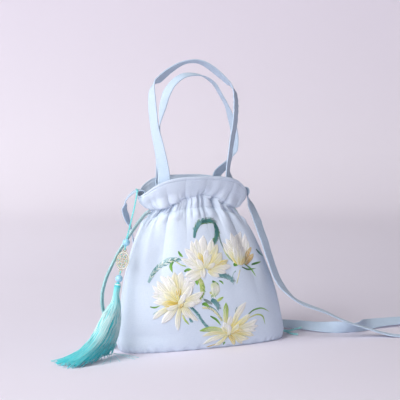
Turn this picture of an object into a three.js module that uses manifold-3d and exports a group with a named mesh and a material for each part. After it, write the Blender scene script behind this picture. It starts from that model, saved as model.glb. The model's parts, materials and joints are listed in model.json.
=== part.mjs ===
// A pale blue cloth drawstring purse: a stuffed pouch gathered at a corded neck under a flared frill, with two
// short handles, a long shoulder strap, two pairs of drawstring tails and a hanging tassel with beads and an
// openwork medallion. Millimetres, +Z up, the front faces -Y, and the origin is the middle of the base's underside.
import * as THREE from "three";
import { mergeVertices } from "three/addons/utils/BufferGeometryUtils.js";
import Module from "manifold-3d";

const wasm = await Module();
wasm.setup();

// Driving dimensions of the pouch
const CLOTH = 2;
const BASE_WIDTH = 223;
const BASE_DEPTH = 62;
const NECK_WIDTH = 109;
const NECK_DEPTH = 42;
const NECK_HEIGHT = 178;
const NECK_DROOP = 12;
const RIM_WIDTH = 143;
const RIM_DEPTH = 62;
const RIM_HEIGHT = 208;
const RIM_DROOP = 23;
const LEAN_LEFT = 9;
const LEAN_BACK = 9;
const PLEAT_DEPTH = 5;
const DENT_DEPTH = 4;
const BASE_PANEL_THICKNESS = 2;
const SEAM_GAP = 0.3;
const FLOOR_GAP = 0.1;

// Driving dimensions of the straps and cords
const STRAP_WIDTH = 15;
const STRAP_THICKNESS = 1.6;
const STRAP_GAP = 0.4;
const FRONT_HANDLE_SPREAD = 86;
const FRONT_HANDLE_RISE = 138;
const BACK_HANDLE_SPREAD = 80;
const BACK_HANDLE_RISE = 126;
const CORD_DIAMETER = 2.6;
const CORD_GAP = 0.5;
const KNOT_DIAMETER = 7.5;

// Driving dimensions of the hanging drop
const THREAD_DIAMETER = 1.3;
const THREAD_RING_DIAMETER = 3.6;
const BEAD_DIAMETER = 9;
const BEAD_HOLE_DIAMETER = 2.2;
const MEDALLION_WIDTH = 15;
const MEDALLION_LENGTH = 22.5;
const MEDALLION_THICKNESS = 1.6;
const EYELET_DIAMETER = 4.6;
const EYELET_HOLE_DIAMETER = 2.6;
const TASSEL_HEAD_DIAMETER = 7.4;
const TASSEL_HEAD_LENGTH = 15;
const DROP_GAP = 0.4;
const LOOP_SQUARENESS = 0.4;

const LINEN_BLUE = 0xc3d5ea;
const STRAP_BLUE = 0xb4cbe0;
const CORD_GREEN = 0xa8d4d2;
const THREAD_TEAL = 0x7fdad6;
const BEAD_BLUE = 0x7cc8ee;
const GILT = 0xd8b878;
const TASSEL_TEAL = 0x45c7c6;

// The cloth wall's sections. level runs from 0 at the base through 1 at the neck to 2 at the rim. width and depth
// run from the neck's (0) to the base's (1) below the neck, and from the neck's (0) to the rim's (1) above it.
// square is the section's exponent: 2 is an ellipse, and more is boxier.
const WALL_SECTIONS = [
  { level: 0.0, width: 0.93, depth: 0.72, square: 2.5 },
  { level: 0.03, width: 0.975, depth: 0.93, square: 2.5 },
  { level: 0.08, width: 1.0, depth: 1.08, square: 2.45 },
  { level: 0.17, width: 0.96, depth: 1.2, square: 2.35 },
  { level: 0.32, width: 0.89, depth: 1.3, square: 2.25 },
  { level: 0.46, width: 0.8, depth: 1.28, square: 2.15 },
  { level: 0.6, width: 0.67, depth: 1.12, square: 2.1 },
  { level: 0.72, width: 0.54, depth: 0.88, square: 2.05 },
  { level: 0.83, width: 0.4, depth: 0.56, square: 2.0 },
  { level: 0.91, width: 0.26, depth: 0.3, square: 2.0 },
  { level: 0.96, width: 0.12, depth: 0.1, square: 2.0 },
  { level: 1.0, width: 0.0, depth: 0.0, square: 2.0 },
  { level: 1.14, width: 0.3, depth: 0.1, square: 2.0 },
  { level: 1.34, width: 0.7, depth: 0.32, square: 2.05 },
  { level: 1.6, width: 0.96, depth: 0.62, square: 2.1 },
  { level: 1.82, width: 1.03, depth: 0.86, square: 2.1 },
  { level: 2.0, width: 1.0, depth: 1.0, square: 2.1 },
];

// The creases of the gathered neck. angle is in degrees from the front's middle towards the right seam, depth is
// the share of PLEAT_DEPTH, and down and up are how far it reaches, in levels.
const CREASES = [
  { angle: -90, depth: 0.7, down: 0.12, up: 0.5 },
  { angle: -61, depth: 0.9, down: 0.2, up: 0.45 },
  { angle: -38, depth: 1.2, down: 0.42, up: 0.6 },
  { angle: -17, depth: 1.15, down: 0.26, up: 0.9 },
  { angle: 4, depth: 1.25, down: 0.2, up: 1.0 },
  { angle: 20, depth: 1.05, down: 0.24, up: 0.7 },
  { angle: 37, depth: 1.35, down: 0.5, up: 0.8 },
  { angle: 61, depth: 0.8, down: 0.16, up: 0.45 },
  { angle: 90, depth: 0.6, down: 0.12, up: 0.5 },
  { angle: 116, depth: 1.0, down: 0.3, up: 0.7 },
  { angle: 138, depth: 1.2, down: 0.24, up: 0.8 },
  { angle: 159, depth: 1.0, down: 0.36, up: 0.6 },
  { angle: 180, depth: 1.25, down: 0.22, up: 0.9 },
  { angle: 202, depth: 1.05, down: 0.4, up: 0.6 },
  { angle: 224, depth: 1.2, down: 0.26, up: 0.8 },
  { angle: 246, depth: 0.95, down: 0.2, up: 0.6 },
];

// Rows of the sections' table, counted from 0, that the wall's inner face does without.
const HIDDEN_ROWS = [3, 5, 7, 14];

// Soft dents in the stuffed body: a dent's middle, its half sizes in degrees and levels, and its depth as a share
// of DENT_DEPTH. A negative depth is a swelling.
const DENTS = [
  { angle: -40, level: 0.66, wide: 9, tall: 0.2, depth: 1.1 },
  { angle: 38, level: 0.7, wide: 9, tall: 0.2, depth: 1.0 },
  { angle: -52, level: 0.12, wide: 26, tall: 0.05, depth: 0.6 },
  { angle: 0, level: 0.4, wide: 40, tall: 0.25, depth: -0.6 },
  { angle: 60, level: 0.36, wide: 14, tall: 0.3, depth: 0.5 },
  { angle: 180, level: 0.45, wide: 45, tall: 0.28, depth: -0.7 },
  { angle: 205, level: 0.72, wide: 10, tall: 0.2, depth: 0.9 },
  { angle: 150, level: 0.68, wide: 10, tall: 0.2, depth: 0.8 },
];

// The handles' arches. across is the share of half the spread, up the share of the rise, and turn the strap's
// twist in degrees out of the arch's plane.
const FRONT_ARCH = [
  { across: -0.97, up: 0.04, turn: -42 },
  { across: -1.02, up: 0.14, turn: -52 },
  { across: -1.11, up: 0.28, turn: -61 },
  { across: -1.22, up: 0.43, turn: -74 },
  { across: -1.27, up: 0.57, turn: -73 },
  { across: -1.29, up: 0.68, turn: -78 },
  { across: -1.28, up: 0.755, turn: -92 },
  { across: -1.2, up: 0.818, turn: -116 },
  { across: -1.04, up: 0.848, turn: -132 },
  { across: -0.84, up: 0.897, turn: -130 },
  { across: -0.5, up: 0.962, turn: -117 },
  { across: -0.13, up: 1.001, turn: -101 },
  { across: 0.21, up: 0.996, turn: -98 },
  { across: 0.52, up: 0.95, turn: -98 },
  { across: 0.8, up: 0.886, turn: -96 },
  { across: 1.06, up: 0.818, turn: -88 },
  { across: 1.21, up: 0.768, turn: -62 },
  { across: 1.28, up: 0.7, turn: -45 },
  { across: 1.29, up: 0.6, turn: -43 },
  { across: 1.25, up: 0.46, turn: -43 },
  { across: 1.16, up: 0.326, turn: -44 },
  { across: 1.08, up: 0.18, turn: -47 },
  { across: 1.01, up: 0.04, turn: -48 },
];
const BACK_ARCH = [
  { across: -0.96, up: 0.0, turn: -168 },
  { across: -0.99, up: 0.132, turn: -152 },
  { across: -1.04, up: 0.278, turn: -140 },
  { across: -1.05, up: 0.405, turn: -128 },
  { across: -0.99, up: 0.55, turn: -102 },
  { across: -0.91, up: 0.675, turn: -78 },
  { across: -0.79, up: 0.8, turn: -72 },
  { across: -0.59, up: 0.895, turn: -76 },
  { across: -0.27, up: 0.968, turn: -74 },
  { across: 0.09, up: 0.987, turn: -76 },
  { across: 0.44, up: 0.97, turn: -82 },
  { across: 0.79, up: 0.902, turn: -82 },
  { across: 1.03, up: 0.794, turn: -80 },
  { across: 1.25, up: 0.684, turn: -80 },
  { across: 1.39, up: 0.574, turn: -92 },
  { across: 1.5, up: 0.463, turn: -97 },
  { across: 1.55, up: 0.351, turn: -98 },
  { across: 1.54, up: 0.24, turn: -92 },
  { across: 1.45, up: 0.168, turn: -64 },
  { across: 1.28, up: 0.1, turn: -38 },
  { across: 0.94, up: 0.0, turn: -24 },
];
// Where each handle is sewn inside the frill, in degrees from the front's middle, and its arch's own place.
const FRONT_HANDLE = { arch: FRONT_ARCH, leftSeat: -40, rightSeat: 35, middle: -14, topDepth: -5 };
const BACK_HANDLE = { arch: BACK_ARCH, leftSeat: 209, rightSeat: 143, middle: -5, topDepth: 25 };
const SEAT_LOW_LEVEL = 1.35;
const SEAT_HIGH_LEVEL = 1.75;
const SEAT_SEARCH_TURN = 28;
const SEAT_SEARCH_LEVELS = 0.4;
const SEAT_SEARCH_HEIGHT = 2.5;
const SEAT_SEARCH_MARGIN = 1;
const LONGEST_HANDLE_STEP = 9;

// The shoulder strap's route between its seams as it lies: x, y, z and the strap's roll in degrees about its
// heading, where 0 stands it on its edge and 90 lays it flat.
const SHOULDER_ROUTE = [
  [-73.2, 9.8, 188.6, 90],
  [-76, 10, 191.8, 90],
  [-80, 10.4, 192.2, 90],
  [-84.5, 11.8, 190.6, 88],
  [-88.6, 13.2, 187.8, 86],
  [-92, 15, 184, 80],
  [-94.4, 17, 179.5, 68],
  [-95.4, 19, 173.5, 34],
  [-94.2, 21.5, 167.5, 4],
  [-91, 25, 160.8, -12],
  [-86, 29, 153.7, -18],
  [-80.6, 35, 144.5, -17],
  [-75.4, 43, 130, -14],
  [-70, 50, 111, -10],
  [-64, 56, 90, -8],
  [-56, 60, 66, -10],
  [-46, 62, 42, -16],
  [-32, 63, 24, -28],
  [-12, 64, 12, -42],
  [14, 65, 8, -52],
  [46, 66, 7, -58],
  [82, 65, 7, -60],
  [112, 59, 7, -60],
  [134, 48, 7, -60],
  [148, 36, 7, -58],
  [158, 22, 7, -56],
  [168, 7, 7, -48],
  [180, -4, 7, -30],
  [192, -13.5, 7, 4],
  [203, -19, 7, 34],
  [215, -18.5, 7, 22],
  [229, -12, 7, -18],
  [247, -5, 7, -46],
  [268, -3, 7, -58],
  [294, -3.5, 7, -60],
  [330, -3, 7, -48],
  [368, -3, 7, -28],
  [402, -9, 7, -10],
  [425, -25, 7, 0],
  [433, -49, 7, 4],
  [425, -74, 7, 12],
  [405, -94, 7, 26],
  [376, -105, 6, 46],
  [344, -106, 3, 66],
  [312, -99, 1.5, 80],
  [282, -86, 1, 88],
  [262, -74, 1, 90],
  [247, -65, 1.2, 90],
  [236.7, -60, 2.5, 90],
  [228.4, -56, 4.6, 90],
  [220, -52.5, 7.2, 90],
  [211.3, -49, 10.2, 90],
  [202.5, -46, 13.2, 90],
  [193.1, -43.5, 16.3, 88],
  [174.8, -39, 23.8, 86],
  [156.6, -34, 33.2, 84],
  [137.9, -30, 40.6, 80],
  [119.5, -26.5, 48.9, 78],
  [106.2, -23.5, 60.4, 72],
  [98.9, -20.5, 69.8, 66],
  [94.1, -18, 78.7, 64],
  [90, -15.5, 90.9, 67],
  [86.6, -13, 103.4, 73],
  [83.9, -10.5, 113.7, 76],
  [81.8, -8, 124.1, 80],
  [79.2, -4.5, 134.3, 83],
  [76.9, -1, 145, 86],
  [74.8, 2.8, 154.5, 86],
  [72.2, 6.2, 163.6, 82],
  [69.5, 9, 171.5, 80],
  [66.9, 10.4, 180, 84],
  [65.6, 10.6, 187, 89],
  [62.2, 10.3, 191.8, 90],
  [58, 10, 192, 90],
  [55.2, 9.8, 188.6, 90],
];
const SHOULDER_SEAM_LEVELS = [1.4, 1.65, 1.9];
const LONGEST_SHOULDER_STEP = 13;

// The left drawstrings' route after the neck, along the middle of the pair: x, y and z.
const LEFT_CORD_ROUTE = [
  [-74, 4.5, 163.4],
  [-83, 0.5, 156],
  [-92.8, -2.5, 145.6],
  [-102.4, -4, 133.5],
  [-112, -4.5, 120],
  [-120.6, -4.5, 105],
  [-127.4, -3.5, 90],
  [-131.6, -2.5, 74],
  [-131, 0, 58],
  [-126, 4.5, 42],
  [-119, 10, 26],
  [-114, 16, 13],
];
const LEFT_KNOT = [-111.5, 21, 4.6];
const LEFT_TIPS = [
  [
    [-106, 27.5, 2.2],
    [-101, 35, 1.6],
  ],
  [
    [-114.5, 28, 2.2],
    [-117, 36, 1.6],
  ],
];
// The right drawstrings follow the wall down its right side: the angle from the front's middle, the level and how
// far the middle of the pair stands off the wall.
const RIGHT_CORD_ROUTE = [
  { angle: 106, level: 0.955, clear: 5.5 },
  { angle: 109, level: 0.89, clear: 4.6 },
  { angle: 111, level: 0.8, clear: 3.4 },
  { angle: 111, level: 0.69, clear: 2.8 },
  { angle: 110, level: 0.57, clear: 2.6 },
  { angle: 108, level: 0.45, clear: 2.6 },
  { angle: 106, level: 0.33, clear: 2.6 },
  { angle: 104, level: 0.22, clear: 2.6 },
  { angle: 104, level: 0.12, clear: 3.2 },
];
const RIGHT_KNOT = [120.5, 19, 4.6];
const RIGHT_TIPS = [
  [
    [129, 14.5, 3.4],
    [138, 13, 4.8],
    [146.5, 12, 6.4],
  ],
  [
    [127, 10, 2.2],
    [129, 4, 1.6],
    [132, -3, 1.6],
  ],
];
const LEFT_EXIT = -90;
const RIGHT_EXIT = 102;
const CORD_SIDES = 8;
const CORD_STEPS = 23;
const TIP_STEPS = 5;

// The hanging drop: the middle of the medallion and the direction in which the drop hangs.
const DROP_MIDDLE = [-111.4, -16.2, 112];
const DROP_DOWN = [-0.268, -0.146, -0.951];
const DROP_FACING = -25;
// The thread's route from the upper bead to its loop round the shoulder strap, and the place that the loop is
// nearest to.
const THREAD_ROUTE = [
  [-103.4, -11.4, 139.5],
  [-97, -6.5, 156],
  [-90, -1, 174],
];
const THREAD_LOOP_PLACE = [-82.5, 11.2, 191.2];
// The medallion's openings: rings of ovals about its middle. radius and the sizes are shares of half its width
// and half its length.
const MEDALLION_RINGS = [
  { count: 1, radius: 0, size: 0.13, first: 0 },
  { count: 6, radius: 0.33, size: 0.14, first: 0 },
  { count: 12, radius: 0.68, size: 0.13, first: 15 },
];

// The tassel's skirt below its head: its left edge, its middle and its right edge as it sweeps over the floor.
const TASSEL_GUIDES = [
  { left: [-121.5, -22.5, 71], middle: [-120.6, -23.6, 70.6], right: [-119.4, -22.5, 70.4] },
  { left: [-130.2, -24, 62.1], middle: [-125.3, -26.5, 60.9], right: [-117.8, -23, 58.5] },
  { left: [-138.5, -26, 53.6], middle: [-130.6, -31, 49.1], right: [-116.9, -22, 45.3] },
  { left: [-147.2, -28, 39.4], middle: [-138, -36, 36.6], right: [-117.8, -20, 33.2] },
  { left: [-156.9, -31, 25.7], middle: [-148.1, -42, 24.7], right: [-119.6, -18.5, 22.1] },
  { left: [-170.6, -34, 14.8], middle: [-160.5, -48, 15.4], right: [-122, -16.5, 14.2] },
  { left: [-186, -30, 6.8], middle: [-173.8, -54, 7.6], right: [-124, -15, 7.3] },
  { left: [-200.1, -20.2, 1.5], middle: [-185.3, -60, 1.5], right: [-126, -15, 1.5] },
];
const TASSEL_LOCKS = 9;
const LOCK_SIDES = 6;
const LOCK_DEPTH = 4.2;
const LOCK_TIP_SHARE = 0.3;
const LOCK_FILL = 0.62;
const LOCK_LEAST_HALF_WIDTH = 1.3;
const THREAD_SIDES = 6;

// Shared helpers
const rad = THREE.MathUtils.degToRad;
const lerp = THREE.MathUtils.lerp;
const vector = (p) => new THREE.Vector3(...p);

// A value of a table at x, along a smooth curve through its rows that never overshoots them.
function along(rows, key, x, value) {
  const last = rows.length - 1;
  let i = 0;
  while (i < last - 1 && x > rows[i + 1][key]) i += 1;
  const slope = (k) => {
    if (k <= 0 || k >= last) return 0;
    const before = (rows[k][value] - rows[k - 1][value]) / (rows[k][key] - rows[k - 1][key]);
    const after = (rows[k + 1][value] - rows[k][value]) / (rows[k + 1][key] - rows[k][key]);
    return before * after <= 0 ? 0 : (2 * before * after) / (before + after);
  };
  const h = rows[i + 1][key] - rows[i][key];
  const t = THREE.MathUtils.clamp((x - rows[i][key]) / h, 0, 1);
  const t2 = t * t;
  const t3 = t2 * t;
  return (
    rows[i][value] * (2 * t3 - 3 * t2 + 1) +
    rows[i + 1][value] * (3 * t2 - 2 * t3) +
    slope(i) * h * (t3 - 2 * t2 + t) +
    slope(i + 1) * h * (t3 - t2)
  );
}

// Closed geometry from vertices and triangles.
function geometryOf(vertices, triangles) {
  const flat = new Float32Array(vertices.length * 3);
  vertices.forEach((v, i) => v.toArray(flat, 3 * i));
  const geometry = new THREE.BufferGeometry();
  geometry.setAttribute("position", new THREE.BufferAttribute(flat, 3));
  geometry.setIndex(triangles.flat());
  geometry.computeVertexNormals();
  return geometry;
}

// A skin through rings of equal count: capped at both ends, or joined end to end when closed.
function loft(rings, closed = false) {
  const n = rings[0].length;
  const vertices = rings.flat();
  const triangles = [];
  const spans = closed ? rings.length : rings.length - 1;
  for (let r = 0; r < spans; r++) {
    const low = r * n;
    const high = ((r + 1) % rings.length) * n;
    for (let k = 0; k < n; k++) {
      const next = (k + 1) % n;
      triangles.push([low + k, low + next, high + next], [low + k, high + next, high + k]);
    }
  }
  if (!closed) {
    const end = (rings.length - 1) * n;
    for (let k = 1; k < n - 1; k++) {
      triangles.push([0, k + 1, k], [end, end + k, end + k + 1]);
    }
  }
  return geometryOf(vertices, triangles);
}

// Between a three.js geometry and a manifold-3d solid.
function solidOf(geometry) {
  const bare = geometry.clone();
  for (const name of Object.keys(bare.attributes)) {
    if (name !== "position") bare.deleteAttribute(name);
  }
  const merged = mergeVertices(bare, 1e-4);
  return new wasm.Manifold(
    new wasm.Mesh({
      numProp: 3,
      vertProperties: new Float32Array(merged.attributes.position.array),
      triVerts: new Uint32Array(merged.index.array),
    }),
  );
}
function geometryFrom(solid) {
  const mesh = solid.getMesh();
  const geometry = new THREE.BufferGeometry();
  geometry.setAttribute("position", new THREE.BufferAttribute(mesh.vertProperties, 3));
  geometry.setIndex(new THREE.BufferAttribute(mesh.triVerts, 1));
  geometry.computeVertexNormals();
  return geometry;
}

// The cloth wall
const sideShare = (angle) => Math.sin(rad(angle));
function sectionAt(level) {
  const width = along(WALL_SECTIONS, "level", level, "width");
  const depth = along(WALL_SECTIONS, "level", level, "depth");
  const [farWidth, farDepth] = level <= 1 ? [BASE_WIDTH, BASE_DEPTH] : [RIM_WIDTH, RIM_DEPTH];
  return {
    halfWidth: lerp(NECK_WIDTH, farWidth, width) / 2,
    halfDepth: lerp(NECK_DEPTH, farDepth, depth) / 2,
    square: along(WALL_SECTIONS, "level", level, "square"),
  };
}
function heightAt(angle, level) {
  const side = Math.abs(sideShare(angle));
  const neck = NECK_HEIGHT - NECK_DROOP * side ** 2;
  const rim = RIM_HEIGHT - RIM_DROOP * side ** 3.5;
  return level <= 1 ? neck * level : lerp(neck, rim, level - 1);
}
// How far the creases and dents pull the cloth in.
function pleatAt(angle, level) {
  const turned = ((((angle + 90) % 360) + 360) % 360) - 90;
  let i = CREASES.length - 1;
  while (CREASES[i].angle > turned) i -= 1;
  const from = CREASES[i];
  const to = CREASES[(i + 1) % CREASES.length];
  const span = (to.angle - from.angle + 360) % 360;
  const t = (turned - from.angle) / span;
  const strength = (crease) => {
    const away = level <= 1 ? (1 - level) / crease.down : (level - 1) / crease.up;
    return crease.depth * Math.exp(-away * away - 0.4 * away);
  };
  const bulge = Math.sin(Math.PI * t) ** 0.7;
  return PLEAT_DEPTH * lerp(strength(from), strength(to), t) * (1 - bulge);
}
function dentAt(angle, level) {
  return DENTS.reduce((sum, dent) => {
    const off = ((((angle - dent.angle + 180) % 360) + 360) % 360) - 180;
    const reach = (off / dent.wide) ** 2 + ((level - dent.level) / dent.tall) ** 2;
    return sum + DENT_DEPTH * dent.depth * Math.exp(-reach);
  }, 0);
}
// A point of the wall: angle from the front's middle, level, and how far in from the outer face.
function wallPoint(angle, level, inset = 0) {
  const { halfWidth, halfDepth, square } = sectionAt(level);
  const s = Math.sin(rad(angle));
  const c = -Math.cos(rad(angle));
  const power = 2 / square;
  const x = halfWidth * Math.sign(s) * Math.abs(s) ** power;
  const y = halfDepth * Math.sign(c) * Math.abs(c) ** power;
  const out = new THREE.Vector2(
    (Math.sign(x) * Math.abs(x / halfWidth) ** (square - 1)) / halfWidth,
    (Math.sign(y) * Math.abs(y / halfDepth) ** (square - 1)) / halfDepth,
  ).normalize();
  const inward = inset + pleatAt(angle, level) + dentAt(angle, level);
  const lean = Math.min(level, 1) ** 1.3;
  return new THREE.Vector3(
    x - out.x * inward - LEAN_LEFT * lean,
    y - out.y * inward + LEAN_BACK * lean,
    heightAt(angle, level),
  );
}
function outwardAt(angle, level) {
  return wallPoint(angle, level).sub(wallPoint(angle, level, 1)).normalize();
}

const SAMPLES_PER_PLEAT = [0, 0.14, 0.5, 0.86];
const WALL_ANGLES = CREASES.flatMap((crease, i) => {
  const next = CREASES[(i + 1) % CREASES.length];
  const span = (next.angle - crease.angle + 360) % 360;
  return SAMPLES_PER_PLEAT.map((t) => crease.angle + t * span);
});
function wallRing(level, inset) {
  return WALL_ANGLES.map((angle) => wallPoint(angle, level, inset));
}
function pouchWall() {
  const levels = WALL_SECTIONS.map(({ level }) => level);
  const outer = levels.map((level) => wallRing(level, 0));
  const inner = levels.filter((_, i) => !HIDDEN_ROWS.includes(i)).map((level) => wallRing(level, CLOTH));
  return loft([...outer, ...inner.reverse()], true);
}

// The base panel is sewn in just inside the wall's lower edge.
function basePanel() {
  const outline = wallRing(0, CLOTH + SEAM_GAP).map((p) => new THREE.Vector2(p.x, p.y));
  return new THREE.ExtrudeGeometry(new THREE.Shape(outline), {
    depth: BASE_PANEL_THICKNESS,
    bevelEnabled: false,
  });
}

// A flat strap swept along stations of { point, across }, where across is the direction of its width.
function ribbon(stations) {
  const points = stations.map(({ point }) => point);
  const rings = stations.map(({ point, across }, i) => {
    const ahead = headingAt(points, i);
    const side = across.clone().addScaledVector(ahead, -across.dot(ahead)).normalize();
    const face = ahead.clone().cross(side);
    return [
      [-1, -1],
      [1, -1],
      [1, 1],
      [-1, 1],
    ].map(([u, v]) =>
      point
        .clone()
        .addScaledVector(side, (u * STRAP_WIDTH) / 2)
        .addScaledVector(face, (v * STRAP_THICKNESS) / 2),
    );
  });
  return loft(rings);
}

// The place of a strap's middle where it lies inside the frill, clear of the wall behind its whole width.
function seatPoint(angle, level) {
  const out = outwardAt(angle, level);
  const beside = new THREE.Vector3(-out.y, out.x, 0);
  const middle = wallPoint(angle, level, CLOTH);
  let clear = 0;
  for (let turn = -SEAT_SEARCH_TURN; turn <= SEAT_SEARCH_TURN; turn += 1) {
    for (let lift = -SEAT_SEARCH_LEVELS; lift <= SEAT_SEARCH_LEVELS; lift += 0.04) {
      const near = wallPoint(angle + turn, level + lift, CLOTH).sub(middle);
      const behind = Math.abs(near.dot(beside)) <= STRAP_WIDTH / 2 + SEAT_SEARCH_MARGIN;
      if (behind && Math.abs(near.z) <= SEAT_SEARCH_HEIGHT) clear = Math.max(clear, -near.dot(out));
    }
  }
  return middle.addScaledVector(out, -(clear + STRAP_GAP + STRAP_THICKNESS / 2));
}

// A handle: sewn inside the frill at both ends, with its arch between them.
function handle({ arch, leftSeat, rightSeat, middle, topDepth }, spread, rise) {
  const ends = [leftSeat, rightSeat].map((angle) => {
    const out = outwardAt(angle, SEAT_HIGH_LEVEL);
    const low = seatPoint(angle, SEAT_LOW_LEVEL);
    const high = seatPoint(angle, SEAT_HIGH_LEVEL);
    return { low, high, tangent: new THREE.Vector3(-out.y, out.x, 0) };
  });
  const [left, right] = ends;
  const route = arch.map(({ across, up }, i) => {
    const seatDepth = i < arch.length / 2 ? left.high.y : right.high.y;
    return new THREE.Vector3(
      middle + (across * spread) / 2,
      lerp(seatDepth, topDepth, Math.min(up, 1)),
      RIM_HEIGHT + up * rise,
    );
  });
  const points = [left.low, left.high, ...route, right.high, right.low];
  const widths = arch.map(({ turn }, i) => {
    const ahead = points[i + 3].clone().sub(points[i + 1]);
    const inPlane = new THREE.Vector3(ahead.z, 0, -ahead.x).normalize();
    return inPlane.multiplyScalar(Math.cos(rad(turn))).add(new THREE.Vector3(0, Math.sin(rad(turn)), 0));
  });
  // Each end's width runs along the frill, in the sense that the arch next to it has.
  const nearest = (tangent, width) => (tangent.dot(width) < 0 ? tangent.clone().negate() : tangent.clone());
  const first = nearest(left.tangent, widths[0]);
  const final = nearest(right.tangent, widths[widths.length - 1]);
  return ribbon(smoothStations(points, [first, first, ...widths, final, final], LONGEST_HANDLE_STEP));
}

// The places of a strap's stations on the curve through its route's points: one at each point, and more between
// points that are far apart. Each is the number of its segment and its share along it.
function stationPlaces(points, longest) {
  const places = points.slice(0, -1).flatMap((point, k) => {
    const pieces = Math.ceil(point.distanceTo(points[k + 1]) / longest);
    return Array.from({ length: pieces }, (_, j) => ({ k, share: j / pieces }));
  });
  return [...places, { k: points.length - 2, share: 1 }];
}
function smoothStations(points, widths, longest) {
  const curve = new THREE.CatmullRomCurve3(points, false, "centripetal");
  return stationPlaces(points, longest).map(({ k, share }) => ({
    point: curve.getPoint((k + share) / (points.length - 1)),
    across: widths[k].clone().lerp(widths[k + 1], share).normalize(),
  }));
}

// The shoulder strap, sewn inside both side seams; where its route would sink into the floor it rests on it.
function shoulderStations() {
  const seams = [-90, 90].map((angle) => SHOULDER_SEAM_LEVELS.map((level) => seatPoint(angle, level)));
  const route = SHOULDER_ROUTE.map(([x, y, z]) => new THREE.Vector3(x, y, z));
  const points = [...seams[0], ...route, ...seams[1].reverse()];
  const flat = SHOULDER_SEAM_LEVELS.map(() => 90);
  const rolls = [...flat, ...SHOULDER_ROUTE.map((row) => row[3]), ...flat];
  const curve = new THREE.CatmullRomCurve3(points, false, "centripetal");
  return stationPlaces(points, LONGEST_SHOULDER_STEP).map(({ k, share }) => {
    const t = (k + share) / (points.length - 1);
    const roll = rad(lerp(rolls[k], rolls[k + 1], share));
    const ahead = curve.getTangent(t);
    const side = new THREE.Vector3(ahead.y, -ahead.x, 0).normalize();
    const upright = side.clone().cross(ahead);
    const across = upright.multiplyScalar(Math.cos(roll)).addScaledVector(side, Math.sin(roll));
    const face = ahead.clone().cross(across);
    const reach = (STRAP_WIDTH * Math.abs(across.z) + STRAP_THICKNESS * Math.abs(face.z)) / 2;
    const point = curve.getPoint(t);
    point.z = Math.max(point.z, reach + FLOOR_GAP);
    return { point, across, face };
  });
}

// The heading of a row of points at one of them.
function headingAt(points, i) {
  const before = points[Math.max(i - 1, 0)];
  const after = points[Math.min(i + 1, points.length - 1)];
  return after.clone().sub(before).normalize();
}

// A round cord or thread through points, open with flat ends or closed into a loop.
function tube(points, diameter, steps, sides, closed = false) {
  const curve = new THREE.CatmullRomCurve3(points, closed, "centripetal");
  const frames = curve.computeFrenetFrames(steps, closed);
  const rings = Array.from({ length: closed ? steps : steps + 1 }, (_, i) => {
    const middle = curve.getPointAt(i / steps);
    return Array.from({ length: sides }, (_, k) => {
      const turn = (2 * Math.PI * k) / sides;
      return middle
        .clone()
        .addScaledVector(frames.normals[i], (Math.cos(turn) * diameter) / 2)
        .addScaledVector(frames.binormals[i], (Math.sin(turn) * diameter) / 2);
    });
  });
  return loft(rings, closed);
}

// The drawstrings. Both cords of a pair leave the neck's side together and run side by side to their knot.
// beside is the direction in which the second cord lies, as far as the pair's heading allows.
function drawstring(exitAngle, place, route, knot, beside) {
  const start = wallPoint(exitAngle, 1);
  start.addScaledVector(outwardAt(exitAngle, 1), PLEAT_DEPTH + CORD_DIAMETER / 2);
  const end = route[route.length - 1];
  const stop = vector(knot);
  stop.addScaledVector(end.clone().sub(stop).normalize(), KNOT_DIAMETER / 2 + CORD_GAP);
  const middles = [start, ...route, stop];
  const points = middles.map((middle, i) => {
    const ahead = headingAt(middles, i);
    const across = beside.clone().addScaledVector(ahead, -beside.dot(ahead)).normalize();
    return middle.clone().addScaledVector(across, (place - 0.5) * (CORD_DIAMETER + CORD_GAP));
  });
  return tube(points, CORD_DIAMETER, CORD_STEPS, CORD_SIDES);
}
const LEFT_BESIDE = new THREE.Vector3(0.86, 0.51, 0);
const RIGHT_BESIDE = new THREE.Vector3(0, 1, 0);
const leftRoute = LEFT_CORD_ROUTE.map(vector);
const rightRoute = RIGHT_CORD_ROUTE.map(({ angle, level, clear }) => wallPoint(angle, level, -clear));
// A knot with the pair's two loose tips.
function knotWithTips(middle, tips) {
  const ball = new THREE.SphereGeometry(KNOT_DIAMETER / 2, 12, 8).translate(...middle);
  const loose = tips.map((tip) => {
    const points = [middle, ...tip].map(vector);
    return solidOf(tube(points, CORD_DIAMETER, TIP_STEPS, CORD_SIDES));
  });
  return geometryFrom(loose.reduce((whole, tip) => whole.add(tip), solidOf(ball)));
}

// The hanging drop. Everything on it is made about its own middle with +Y up the drop and +Z facing out.
const dropUp = vector(DROP_DOWN).normalize().negate();
const dropOut = new THREE.Vector3(Math.sin(rad(DROP_FACING)), -Math.cos(rad(DROP_FACING)), 0);
const dropSide = dropUp.clone().cross(dropOut).normalize();
dropOut.copy(dropSide).cross(dropUp);
const dropFrame = (distance) =>
  new THREE.Matrix4()
    .makeBasis(dropSide, dropUp, dropOut)
    .setPosition(vector(DROP_MIDDLE).addScaledVector(dropUp, distance));
const dropPoint = (distance) => vector(DROP_MIDDLE).addScaledVector(dropUp, distance);

const EYELET_PLACE = MEDALLION_LENGTH / 2 + EYELET_HOLE_DIAMETER / 2;
const RING_PLACE = EYELET_PLACE + (EYELET_DIAMETER + EYELET_HOLE_DIAMETER) / 4;
const BEAD_PLACE = RING_PLACE + (THREAD_RING_DIAMETER + THREAD_DIAMETER) / 2 + DROP_GAP + BEAD_DIAMETER / 2;
const HEAD_PLACE = -(BEAD_PLACE + BEAD_DIAMETER / 2 + DROP_GAP);

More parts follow.
